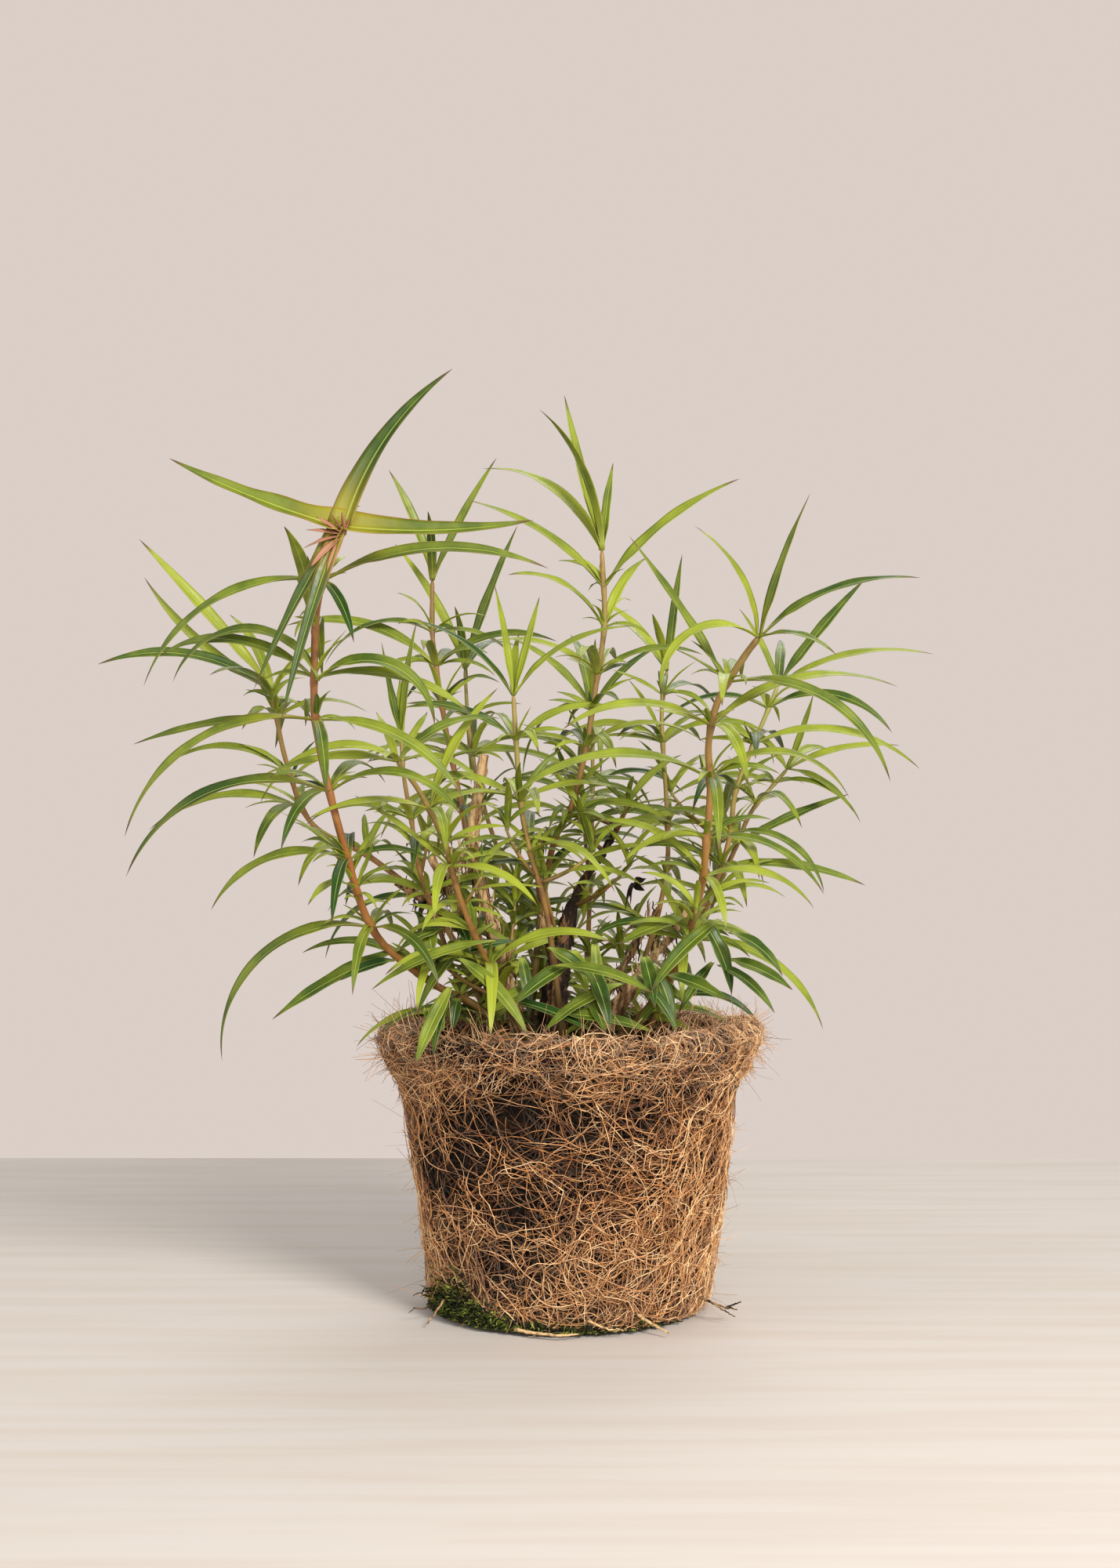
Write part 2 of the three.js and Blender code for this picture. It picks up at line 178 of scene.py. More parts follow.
@dataclass
class Copies:
    """Copies of one shape, each with points of its own, that are gathered into a single piece.

    Attributes:
        shape: The form that is copied.
        placed: The points of each copy.
        notes: For each named attribute, one number per copy.
    """

    shape: Shape
    placed: list[np.ndarray] = field(default_factory=list)
    notes: dict[str, list[float]] = field(default_factory=dict)

    def add(self, points: np.ndarray, **notes: float) -> None:
        """Adds one copy with its points and its attribute values."""
        self.placed.append(points)
        for name, value in notes.items():
            self.notes.setdefault(name, []).append(value)

    def gather(self, name: str) -> bpy.types.Object:
        """Builds the piece.

        Args:
            name: The piece's name.

        Returns:
            A smooth-shaded mesh object at the origin.
        """
        each, count = len(self.shape.points), len(self.placed)
        points = np.concatenate(self.placed)
        corners = (self.shape.corners[None, :] + each * np.arange(count)[:, None]).ravel()
        sizes = np.tile(self.shape.sizes, count)
        mesh = bpy.data.meshes.new(name)
        mesh.vertices.add(len(points))
        mesh.vertices.foreach_set("co", points.ravel())
        mesh.loops.add(len(corners))
        mesh.loops.foreach_set("vertex_index", corners.astype(np.int32))
        mesh.polygons.add(len(sizes))
        starts = np.concatenate([[0], np.cumsum(sizes)[:-1]]).astype(np.int32)
        mesh.polygons.foreach_set("loop_start", starts)
        mesh.polygons.foreach_set("material_index", np.tile(self.shape.finish, count))
        mesh.polygons.foreach_set("use_smooth", np.ones(len(sizes), dtype=bool))
        layer = mesh.uv_layers.new(name="UVMap")
        layer.uv.foreach_set("vector", np.tile(self.shape.uv, (count, 1)).ravel())
        for note, values in self.notes.items():
            attribute = mesh.attributes.new(note, "FLOAT", "POINT")
            attribute.data.foreach_set("value", np.repeat(np.array(values, dtype=np.float32), each))
        mesh.update(calc_edges=True)
        mesh.validate()
        piece = bpy.data.objects.new(name, mesh)
        bpy.context.scene.collection.objects.link(piece)
        return piece


def rod_shape(sides: int, rings: int) -> Shape:
    """A closed rod of radius 1 that runs from 0 to 1 along Z, to be bent along a path.

    Args:
        sides: Faces round it.
        rings: Rings of vertices along it, both ends included.

    Returns:
        The rod, with its UV round and along it.
    """
    clear_selection()
    bpy.ops.mesh.primitive_cylinder_add(vertices=sides, radius=1, depth=1, location=(0, 0, 0.5))
    rod = bpy.context.object
    bpy.ops.object.transform_apply(location=True)
    edit_all(rod)
    bpy.ops.mesh.select_mode(type="EDGE")
    bpy.ops.mesh.select_all(action="DESELECT")
    close_edit()
    for edge in rod.data.edges:
        ends = [rod.data.vertices[i].co for i in edge.vertices]
        edge.select = abs(ends[0].z - ends[1].z) > 0.5
    bpy.ops.object.mode_set(mode="EDIT")
    bpy.ops.mesh.subdivide(number_cuts=rings - 2)
    bpy.ops.mesh.select_mode(type="VERT")
    close_edit()
    shape = Shape.taken_from(rod)
    corners = shape.points[shape.corners]
    round_it = np.arctan2(corners[:, 1], corners[:, 0]) / (2 * math.pi) % 1
    starts = np.concatenate([[0], np.cumsum(shape.sizes)[:-1]])
    for start, size in zip(starts, shape.sizes):
        face = round_it[start:start + size]
        if np.ptp(face) > 0.5:
            face[face < 0.5] += 1
    shape.uv = np.stack([round_it, corners[:, 2]], 1)
    return shape


def dress(piece: bpy.types.Object, slot: Slot, *finishes: bpy.types.Material) -> bpy.types.Object:
    """Gives a piece its materials and the body that it rides on.

    Args:
        piece: The finished piece.
        slot: Not used.
        finishes: Its materials, in order.

    Returns:
        The piece.
    """
    piece.data.materials.clear()
    for finish in finishes:
        piece.data.materials.append(finish)
    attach(piece, ROOT)
    log.info("%s: %d faces", piece.name, len(piece.data.polygons))
    return piece


# ---- Finishes ----


def linear(red: int, green: int, blue: int) -> tuple[float, float, float, float]:
    """A colour from 0-255 display numbers to linear light, with full alpha."""
    parts = [c / 255 for c in (red, green, blue)]
    light = [p / 12.92 if p <= 0.04045 else ((p + 0.055) / 1.055) ** 2.4 for p in parts]
    return (*light, 1.0)


class Nodes:
    """A material's node tree, built one step at a time."""

    def __init__(self, name: str) -> None:
        """Starts a material with a single surface shader."""
        self.material = bpy.data.materials.new(name)
        self.material.use_nodes = True
        self.tree = self.material.node_tree
        self.shader = self.tree.nodes["Principled BSDF"]

    def make(self, kind: str, inputs: dict | None = None, **settings: object) -> bpy.types.Node:
        """Adds a node.

        Args:
            kind: The node's type without its ShaderNode prefix.
            inputs: Sockets by name or number, each with a value or the socket that feeds it.
            settings: The node's own properties.

        Returns:
            The new node.
        """
        node = self.tree.nodes.new("ShaderNode" + kind)
        for name, value in settings.items():
            setattr(node, name, value)
        for key, value in (inputs or {}).items():
            self.feed(node.inputs[key], value)
        return node

    def feed(self, socket: bpy.types.NodeSocket, value: object) -> None:
        """Links a socket to value, or sets it where value is a plain number or colour."""
        if isinstance(value, bpy.types.NodeSocket):
            self.tree.links.new(value, socket)
        else:
            socket.default_value = value

    def uv(self) -> tuple[bpy.types.NodeSocket, bpy.types.NodeSocket]:
        """The piece's own UV as two separate sockets, across and along."""
        split = self.make("SeparateXYZ", {0: self.make("UVMap").outputs[0]})
        return split.outputs[0], split.outputs[1]

    def place(self) -> bpy.types.NodeSocket:
        """Object coordinates in metres."""
        return self.make("TexCoord").outputs["Object"]

    def note(self, name: str) -> bpy.types.NodeSocket:
        """A number that the piece carries as an attribute."""
        return self.make("Attribute", attribute_name=name).outputs["Fac"]

    def math(self, operation: str, *values: object) -> bpy.types.NodeSocket:
        """A sum on one, two or three numbers."""
        return self.make("Math", dict(enumerate(values)), operation=operation).outputs[0]

    def span(self, value: object, low: float, high: float, start: float = 0,
             end: float = 1) -> bpy.types.NodeSocket:
        """value from low..high carried over to start..end, smoothly and held at both ends."""
        inputs = {0: value, 1: low, 2: high, 3: start, 4: end}
        return self.make("MapRange", inputs, interpolation_type="SMOOTHSTEP").outputs[0]

    def noise(self, scale: float, detail: float = 3, at: object = None, stretch: tuple | None = None):
        """A noise between 0 and 1 at scale per metre, on the piece's place unless at is given."""
        where = at or self.place()
        if stretch:
            where = self.make("Mapping", {0: where, 3: stretch}).outputs[0]
        return self.make("TexNoise", {"Vector": where, "Scale": scale, "Detail": detail}).outputs[0]

    def mix(self, share: object, first: object, second: object, blend: str = "MIX") -> bpy.types.NodeSocket:
        """first where share is 0 and second where it is 1."""
        node = self.make("Mix", data_type="RGBA", blend_type=blend)
        for socket, value in zip((node.inputs[0], node.inputs[6], node.inputs[7]), (share, first, second)):
            self.feed(socket, value)
        return node.outputs[2]

    def bump(self, height: object, depth: float, strength: float = 1, below: object = None):
        """A bump of depth metres, on top of the bump below."""
        inputs = {"Height": height, "Distance": depth, "Strength": strength}
        if below is not None:
            inputs["Normal"] = below
        return self.make("Bump", inputs).outputs[0]

    def finish(self, colour: object, roughness: object, normal: object = None,
               **plain: float) -> bpy.types.Material:
        """Connects the shader.

        Args:
            colour: The base colour's socket.
            roughness: Its roughness, a number or a socket.
            normal: The bump's socket.
            plain: Other shader inputs by name, with _ for each space.

        Returns:
            The material.
        """
        self.feed(self.shader.inputs["Base Color"], colour)
        self.feed(self.shader.inputs["Roughness"], roughness)
        if normal is not None:
            self.feed(self.shader.inputs["Normal"], normal)
        for name, value in plain.items():
            self.shader.inputs[name.replace("_", " ")].default_value = value
        return self.material


@dataclass(frozen=True)
class LeafFinish:
    """One side of a narrow leaf: a varied green, a midrib, a pale edge and a dark tip.

    Reads the attributes tone, from deep to yellow green, and warm, from green to reddish.
    """

    name: str
    deep: tuple[int, int, int]
    bright: tuple[int, int, int]
    rib: tuple[int, int, int]
    edge: tuple[int, int, int]
    gloss: float
    rib_height: float

    def make(self) -> bpy.types.Material:
        """Builds the material."""
        n = Nodes(self.name)
        across, along = n.uv()
        tone, warm = n.note("tone"), n.note("warm")
        off = n.math("ABSOLUTE", n.math("SUBTRACT", across, 0.5))
        mottle = n.noise(90, 3)
        tone_here = n.math("ADD", tone, n.span(mottle, 0.3, 0.7, -0.12, 0.12))
        colour = n.mix(n.span(tone_here, 0, 1), linear(*self.deep), linear(*self.bright))
        colour = n.mix(n.span(along, 0.0, 0.2, 0.5, 0), colour, linear(*self.rib))
        olive = n.math("MULTIPLY", warm, n.span(along, 0.02, 0.4, 0.85, 0.05))
        colour = n.mix(olive, colour, linear(138, 126, 26))
        vein = n.make("TexWave", {"Vector": n.make("CombineXYZ", {
            0: n.math("ADD", n.math("MULTIPLY", along, 0.6), n.math("MULTIPLY", off, -3.0))}).outputs[0],
            "Scale": 0.5, "Distortion": 0.5, "Detail": 1.0}).outputs[1]
        rib = n.span(off, 0.008, 0.04, 1, 0)
        rib = n.math("MULTIPLY", rib, n.span(along, 0.7, 0.97, 0.7, 0.1))
        colour = n.mix(rib, colour, linear(*self.rib))
        edge = n.span(off, 0.455, 0.49, 0, 0.55)
        red_edge = n.mix(warm, linear(*self.edge), linear(156, 76, 48))
        colour = n.mix(edge, colour, red_edge)
        tip = n.math("MULTIPLY", n.span(along, 0.88, 0.98, 0, 0.95), n.span(tone, 0.1, 0.6, 0.8, 1))
        colour = n.mix(tip, colour, linear(86, 50, 34))
        spot = n.span(n.noise(48, 2), 0.72, 0.78, 0, 0.45)
        colour = n.mix(n.math("MULTIPLY", spot, n.span(along, 0.3, 0.8)), colour, linear(116, 96, 40))
        rough = n.span(n.noise(260, 2), 0.3, 0.7, self.gloss - 0.05, self.gloss + 0.07)
        low = n.bump(n.span(off, 0.0, 0.12), 0.00012 * self.rib_height, 0.7)
        low = n.bump(vein, 0.00003, 0.3, low)
        return n.finish(colour, rough, low, Specular_IOR_Level=0.32)


LEAF_TOP = LeafFinish("leaf_upper_side", (28, 60, 12), (142, 152, 40), (172, 182, 84), (164, 164, 68),
                      0.42, -1.0)
LEAF_UNDER = LeafFinish("leaf_under_side", (62, 92, 42), (134, 149, 56), (158, 172, 98), (150, 154, 76),
                        0.58, 1.0)
BUD_SCALE = LeafFinish("bud_scale", (142, 92, 70), (186, 138, 108), (196, 150, 116), (150, 84, 62), 0.5, 1.0)
DEAD_LEAF = LeafFinish("dead_leaf", (30, 20, 14), (96, 66, 42), (84, 58, 38), (44, 30, 20), 0.7, 1.0)


@dataclass(frozen=True)
class StemFinish:
    """A soft stem: olive at the ground, through orange brown, to reddish or green near its tip.

    Reads the attribute warm, from green to reddish brown.
    """

    name: str = "soft_stem"

    def make(self) -> bpy.types.Material:
        """Builds the material."""
        n = Nodes(self.name)
        _, along = n.uv()
        warm = n.note("warm")
        upper = n.mix(warm, linear(142, 146, 70), linear(122, 68, 46))
        middle = n.mix(warm, linear(146, 120, 54), linear(146, 84, 38))
        lower = linear(98, 80, 36)
        colour = n.mix(n.span(along, 0.16, 0.6), lower, middle)
        colour = n.mix(n.span(along, 0.45, 0.95), colour, upper)
        streak = n.noise(260, 4, stretch=(1, 1, 0.12))
        colour = n.mix(n.span(streak, 0.4, 0.75, 0, 0.3), colour, linear(182, 132, 78))
        blotch = n.span(n.noise(120, 4), 0.52, 0.68, 0, 0.6)
        colour = n.mix(blotch, colour, linear(98, 60, 36))
        low = n.bump(streak, 0.0002, 0.6)
        low = n.bump(n.noise(1500, 2), 0.00005, 0.5, low)
        rough = n.span(streak, 0.3, 0.7, 0.4, 0.56)
        return n.finish(colour, rough, low, Specular_IOR_Level=0.4)


@dataclass(frozen=True)
class BarkFinish:
    """Weathered old bark: dark and shaggy at the ground, paler where it is cut or worn.

    Reads the attribute tone, from black-brown to pale straw brown.
    """

    name: str = "old_bark"

    def make(self) -> bpy.types.Material:
        """Builds the material."""
        n = Nodes(self.name)
        tone = n.note("tone")
        grain = n.noise(420, 6, stretch=(1, 1, 0.16))
        share = n.math("ADD", tone, n.span(grain, 0.3, 0.7, -0.35, 0.35))
        colour = n.mix(n.span(share, 0.0, 0.45), linear(36, 25, 17), linear(122, 88, 56))
        colour = n.mix(n.span(share, 0.4, 0.95), colour, linear(206, 172, 124))
        green = n.span(n.noise(90, 3), 0.58, 0.72, 0, 0.4)
        colour = n.mix(green, colour, linear(86, 88, 44))
        low = n.bump(grain, 0.0009, 0.9)
        low = n.bump(n.noise(1400, 4), 0.0002, 0.6, low)
        return n.finish(colour, 0.88, low, Specular_IOR_Level=0.25)


@dataclass(frozen=True)
class CoirFinish:
    """Coconut fibre: dark brown through tan to straw, with grey where it has weathered.

    Reads the attributes tone, from dark to light, which carries painted light and shade besides the fibres'
    own tone, and grey, from fresh to weathered.
    """

    name: str = "coir_fibre"

    def make(self) -> bpy.types.Material:
        """Builds the material."""
        n = Nodes(self.name)
        tone, grey = n.note("tone"), n.note("grey")
        _, along = n.uv()
        share = n.math("ADD", tone, n.span(n.noise(240, 3), 0.3, 0.7, -0.14, 0.14))
        colour = n.mix(n.span(share, 0.0, 0.4), linear(18, 9, 4), linear(116, 64, 28))
        colour = n.mix(n.span(share, 0.35, 0.75), colour, linear(206, 144, 84))
        colour = n.mix(n.span(share, 0.75, 1.05), colour, linear(250, 210, 156))
        colour = n.mix(n.math("MULTIPLY", grey, 0.7), colour, linear(204, 180, 152))
        colour = n.mix(n.span(along, 0.85, 1.0, 0, 0.25), colour, linear(70, 44, 26))
        return n.finish(colour, 0.62, None, Specular_IOR_Level=0.35)


@dataclass(frozen=True)
class PotCoreFinish:
    """The pot's pressed inner wall between the fibres: nearly black brown as painted shade for the depths of
    the fibre mat, with short matted streaks.
    """

    name: str = "coir_wall_in_painted_shade"

    def make(self) -> bpy.types.Material:
        """Builds the material."""
        n = Nodes(self.name)
        warped = n.make("TexNoise", {"Vector": n.place(), "Scale": 60.0, "Detail": 2.0}).outputs[1]
        spread = n.mix(0.06, n.place(), warped)
        stretches = ((1, 1, 0.1), (0.14, 1, 1), (1, 0.14, 0.6))
        strands = [n.noise(300, 5, spread, stretch) for stretch in stretches]
        ridge = n.math("MAXIMUM", n.math("MAXIMUM", strands[0], strands[1]), strands[2])
        # Painted shade: the near black ground stands for the shade deep between the fibres; the paler
        # streaks are the matted fibres' own colour.
        colour = n.mix(n.span(ridge, 0.52, 0.78), linear(15, 9, 5), linear(70, 42, 22))
        low = n.bump(ridge, 0.0014, 1)
        return n.finish(colour, 0.92, low, Specular_IOR_Level=0.2)


@dataclass(frozen=True)
class SoilFinish:
    """Dark peaty compost, damp in the hollows.

    Reads the attribute tone, from black peat to a paler crumb.
    """

    name: str = "peaty_compost"

    def make(self) -> bpy.types.Material:
        """Builds the material."""
        n = Nodes(self.name)
        grain = n.noise(520, 6)
        share = n.math("ADD", n.note("tone"), n.span(grain, 0.3, 0.7, -0.2, 0.2))
        colour = n.mix(n.span(share, 0.1, 0.9), linear(15, 11, 8), linear(80, 56, 36))
        low = n.bump(grain, 0.0012, 1)
        low = n.bump(n.noise(1800, 3), 0.0003, 0.7, low)
        return n.finish(colour, n.span(grain, 0.4, 0.7, 0.7, 0.98), low, Specular_IOR_Level=0.3)


@dataclass(frozen=True)
class ChipFinish:
    """Bark chips and bits of straw lying in the compost.

    Reads the attribute tone, from dark bark to pale straw.
    """

    name: str = "bark_chip"

    def make(self) -> bpy.types.Material:
        """Builds the material."""
        n = Nodes(self.name)
        grain = n.noise(500, 5, stretch=(1, 0.3, 1))
        share = n.math("ADD", n.note("tone"), n.span(grain, 0.3, 0.7, -0.2, 0.2))
        colour = n.mix(n.span(share, 0.0, 0.5), linear(62, 40, 26), linear(142, 100, 62))
        colour = n.mix(n.span(share, 0.5, 1.0), colour, linear(202, 172, 124))
        return n.finish(colour, 0.85, n.bump(grain, 0.0004, 0.8), Specular_IOR_Level=0.25)


@dataclass(frozen=True)
class MossFinish:
    """Moss and algae at the pot's foot.

    Reads the attribute tone, from dark olive to fresh green.
    """

    name: str = "moss"

    def make(self) -> bpy.types.Material:
        """Builds the material."""
        n = Nodes(self.name)
        share = n.math("ADD", n.note("tone"), n.span(n.noise(300, 4), 0.3, 0.7, -0.25, 0.25))
        colour = n.mix(n.span(share, 0.1, 0.75), linear(20, 22, 10), linear(84, 96, 34))
        colour = n.mix(n.span(share, 0.75, 1.0), colour, linear(150, 152, 62))
        return n.finish(colour, 0.85, n.bump(n.noise(1600, 3), 0.0002, 0.8), Specular_IOR_Level=0.25)


# ---- Paths and bending ----


def unit(vectors: np.ndarray) -> np.ndarray:
    """Vectors of length 1 along the last axis."""
    return vectors / np.maximum(np.linalg.norm(vectors, axis=-1, keepdims=True), 1e-12)


def wrap_round(rod: Shape, path: np.ndarray, outward: np.ndarray, radius: np.ndarray) -> np.ndarray:
    """Bends a rod along one or many paths.

    Args:
        rod: A rod from rod_shape.
        path: Points along each path, (..., rings, 3).
        outward: A direction at each point that isn't along the path.
        radius: The rod's radius at each point, (..., rings).

    Returns:
        The rod's points for each path, (..., vertices, 3).
    """
    rings = path.shape[-2]
    ring = np.rint(rod.points[:, 2] * (rings - 1)).astype(int)
    ahead = unit(np.gradient(path, axis=-2))
    side = unit(np.cross(ahead, outward))
    up = np.cross(side, ahead)
    reach = radius[..., ring, None]
    x, y = rod.points[:, 0, None], rod.points[:, 1, None]
    return path[..., ring, :] + reach * (x * side[..., ring, :] + y * up[..., ring, :])


def smooth_path(points: np.ndarray, count: int) -> np.ndarray:
    """An even run of points on the rounded curve through a few points.

    Args:
        points: The points that it passes through.
        count: How many points to return.

    Returns:
        The points, evenly spaced by the curve's own share.
    """
    ends = [2 * points[0] - points[1], *points, 2 * points[-1] - points[-2]]
    place = np.linspace(0, len(points) - 1, count)
    k = np.minimum(place.astype(int), len(points) - 2)
    t = (place - k)[:, None]
    a, b, c, d = (np.array([ends[i + j] for i in k]) for j in range(4))
    return 0.5 * (2 * b + (c - a) * t + (2 * a - 5 * b + 4 * c - d) * t**2 + (3 * b - a - 3 * c + d) * t**3)


@dataclass(frozen=True)
class Leaf:
    """One narrow leaf: where it grows and how it bends.

    Attributes:
        start: Where it leaves its stem, in millimetres.
        heading: Its direction across the ground in degrees, from +X towards +Y.
        length: Its length in millimetres.
        rise: Degrees above level where it leaves.
        droop: Degrees that it has bent down again at its tip.
        width: Its full width in millimetres.
        sway: Degrees that it turns sideways by its tip.
        roll: Degrees that the blade turns about its own length by its tip.
        tone: Its green, from deep to bright.
        warm: How reddish it is.
        foot: Its width where it leaves the stem, as a share of its full width.
        taper: How far it narrows evenly from a broad clasping base, from 0 to 1.
    """

    start: tuple[float, float, float]
    heading: float
    length: float
    rise: float
    droop: float
    width: float
    sway: float = 0.0
    roll: float = 0.0
    tone: float = 0.5
    warm: float = 0.0
    foot: float = 0.5
    taper: float = 0.0

    FACE_LIGHT = 38.0
    OUTLINE = ((0, 1), (0.05, 1), (0.14, 1), (0.28, 0.95), (0.42, 1), (0.56, 0.93), (0.7, 0.74),
               (0.82, 0.49), (0.91, 0.26), (0.97, 0.1), (1, 0.012))

    @classmethod
    def between(cls, start: tuple, end: tuple, bend: float, width: float, roll: float, tone: float) -> Leaf:
        """A leaf from one place to another.

        Args:
            start: Where it grows, in millimetres.
            end: Where its tip is.
            bend: Degrees that it bends down on the way.
            width: Its full width.
            roll: Its roll.
            tone: Its tone.

        Returns:
            The leaf.
        """
        x, y, z = np.subtract(end, start)
        flat = math.hypot(x, y)
        half = math.radians(max(bend, 1)) / 2
        length = math.hypot(flat, z) * half / math.sin(half)
        rise = math.degrees(math.atan2(z, flat)) + bend / 2
        return cls(tuple(start), math.degrees(math.atan2(y, x)), length, rise, bend, width, 0, roll, tone, 0)

    def centre_line(self, shares: np.ndarray) -> tuple[np.ndarray, np.ndarray, np.ndarray]:
        """The midrib's points and directions.

        Args:
            shares: Places along it from 0 to 1, in order.

        Returns:
            The points in millimetres, the directions ahead there, and the level directions across.
        """
        fine = np.linspace(0, 1, 61)
        middle = (fine[1:] + fine[:-1]) / 2
        lift = np.radians(self.rise - self.droop * middle)
        turn = np.radians(self.heading + self.sway * middle**2)
        steps = np.stack([np.cos(turn) * np.cos(lift), np.sin(turn) * np.cos(lift), np.sin(lift)], 1)
        points = np.vstack([[0, 0, 0], np.cumsum(steps, 0) * self.length / 60]) + self.start
        level = np.stack([-np.sin(turn), np.cos(turn), 0 * turn], 1)
        rows = (points, np.vstack([steps, steps[-1]]), np.vstack([level, level[-1]]))
        line, ahead, level = (
            np.stack([np.interp(shares, fine, r[:, i]) for i in range(3)], 1) for r in rows)
        return line, unit(ahead), unit(level)

    def bend(self, shape: Shape) -> np.ndarray:
        """The blade's points, in metres.

        Args:
            shape: The flat leaf: x its share along, y from -1 to 1 across, z from -1 below to 1 above.

        Returns:
            One row per vertex.
        """
        along, across, layer = shape.points.T
        shares, which = np.unique(np.round(along, 5), return_inverse=True)
        line, ahead, level = self.centre_line(shares)
        facing = math.cos(math.radians(self.heading))
        turned = self.FACE_LIGHT * facing * np.minimum(1, shares * 4 + self.taper)
        roll = np.radians(turned + self.roll * np.maximum(shares, 0.6 * self.taper))[:, None]
        up = np.cross(ahead, level)
        side = level * np.cos(roll) + up * np.sin(roll)
        up = np.cross(ahead, side)
        outline = np.interp(shares, *np.array(self.OUTLINE).T)
        even = np.maximum((1 - shares) ** 0.85, 0.012)
        half = self.width / 2 * (outline + (even - outline) * self.taper)
        half = half * (self.foot + (1 - self.foot) * np.sin(np.minimum(1, shares / 0.34) * math.pi / 2))
        ripple = 1 + 0.04 * np.sin(shares * 19 + self.heading)
        wide = (half * ripple)[which]
        fold = (0.46 + 0.24 * self.taper) * (1 - 0.55 * shares)[which] * np.abs(across) ** 1.08
        wave = 0.07 * np.sin(shares * 17 + self.length)[which] * np.abs(across) ** 2 * np.sign(across)
        thick = np.minimum(0.32, half[which] * 0.5) * (1 - 0.55 * np.abs(across)) * layer / 2
        height = wide * (fold + wave) + thick
        points = line[which] + side[which] * (across * wide)[:, None] + up[which] * height[:, None]
        return points * MM


def leaf_shape(rings: int, columns: int) -> Shape:
    """The flat leaf that every blade is bent from, with its under side as a second finish.

    Args:
        rings: Rows of faces along it.
        columns: Faces across it, an even number.

    Returns:
        A closed thin sheet: x from 0 to 1 along it, y from -1 to 1 across, z -1 below and 1 above.
    """
    clear_selection()
    bpy.ops.mesh.primitive_grid_add(x_subdivisions=rings, y_subdivisions=columns, size=2)
    sheet = bpy.context.object
    grid = points_of(sheet)
    grid[:, 0] = np.sin((grid[:, 0] + 1) / 2 * math.pi / 2 * 0.9) / math.sin(math.pi / 2 * 0.9)
    set_points(sheet, grid)
    sheet.data.materials.append(None)
    sheet.data.materials.append(None)
    wall = sheet.modifiers.new("thickness", "SOLIDIFY")
    wall.thickness, wall.offset, wall.material_offset, wall.use_rim = 2.0, 0.0, 1, True
    wall.use_even_offset = False
    pick(sheet)
    bpy.ops.object.modifier_apply(modifier=wall.name)
    edit_all(sheet)
    bpy.ops.mesh.normals_make_consistent(inside=False)
    close_edit()
    for face in sheet.data.polygons:
        face.material_index = 0 if face.center.z > 0.5 or abs(face.normal.z) < 0.5 else 1
    corners = np.array([sheet.data.vertices[loop.vertex_index].co[:2] for loop in sheet.data.loops])
    layer = sheet.data.uv_layers[0]
    uv = np.stack([corners[:, 1] / 2 + 0.5, corners[:, 0]], 1)
    layer.uv.foreach_set("vector", uv.ravel())
    return Shape.taken_from(sheet)


# ---- The plant ----


@dataclass(frozen=True)
class Shoot:
    """One leafy stem.

    Attributes:
        path: Its points in millimetres, heights counted from the compost.
        girth: Its radius at the ground and at its tip.
        whorls: For each whorl, where it grows in path points, and its leaves.
        tip: The leaves at its end.
        warm: How reddish the stem is.
        tone: The green of its leaves, from deep to bright.
        broad: How much wider the leaves at its end are.
        star: How olive and red edged they are at least.
    """

    path: tuple
    girth: tuple[float, float]
    whorls: tuple
    tip: tuple
    warm: float = 0.5
    tone: float = 0.5
    broad: float = 1.0
    star: float = 0.0

    def points(self, count: int) -> np.ndarray:
        """Points along the stem from its planted end, in millimetres."""
        raised = [np.array((x, y, COMPOST_TOP + z), float) for x, y, z in self.path]
        planted = raised[0].copy()
        planted[2] = COMPOST_TOP - PLANTED_DEPTH
        return smooth_path(np.array([planted, *raised]), count)

    def share(self, at: float) -> float:
        """The share of the stem at a place counted in path points from the ground."""
        return (at + 1) / len(self.path)

    def length(self) -> float:
        """The stem's length in millimetres."""
        return float(np.linalg.norm(np.diff(self.points(80), axis=0), axis=1).sum())


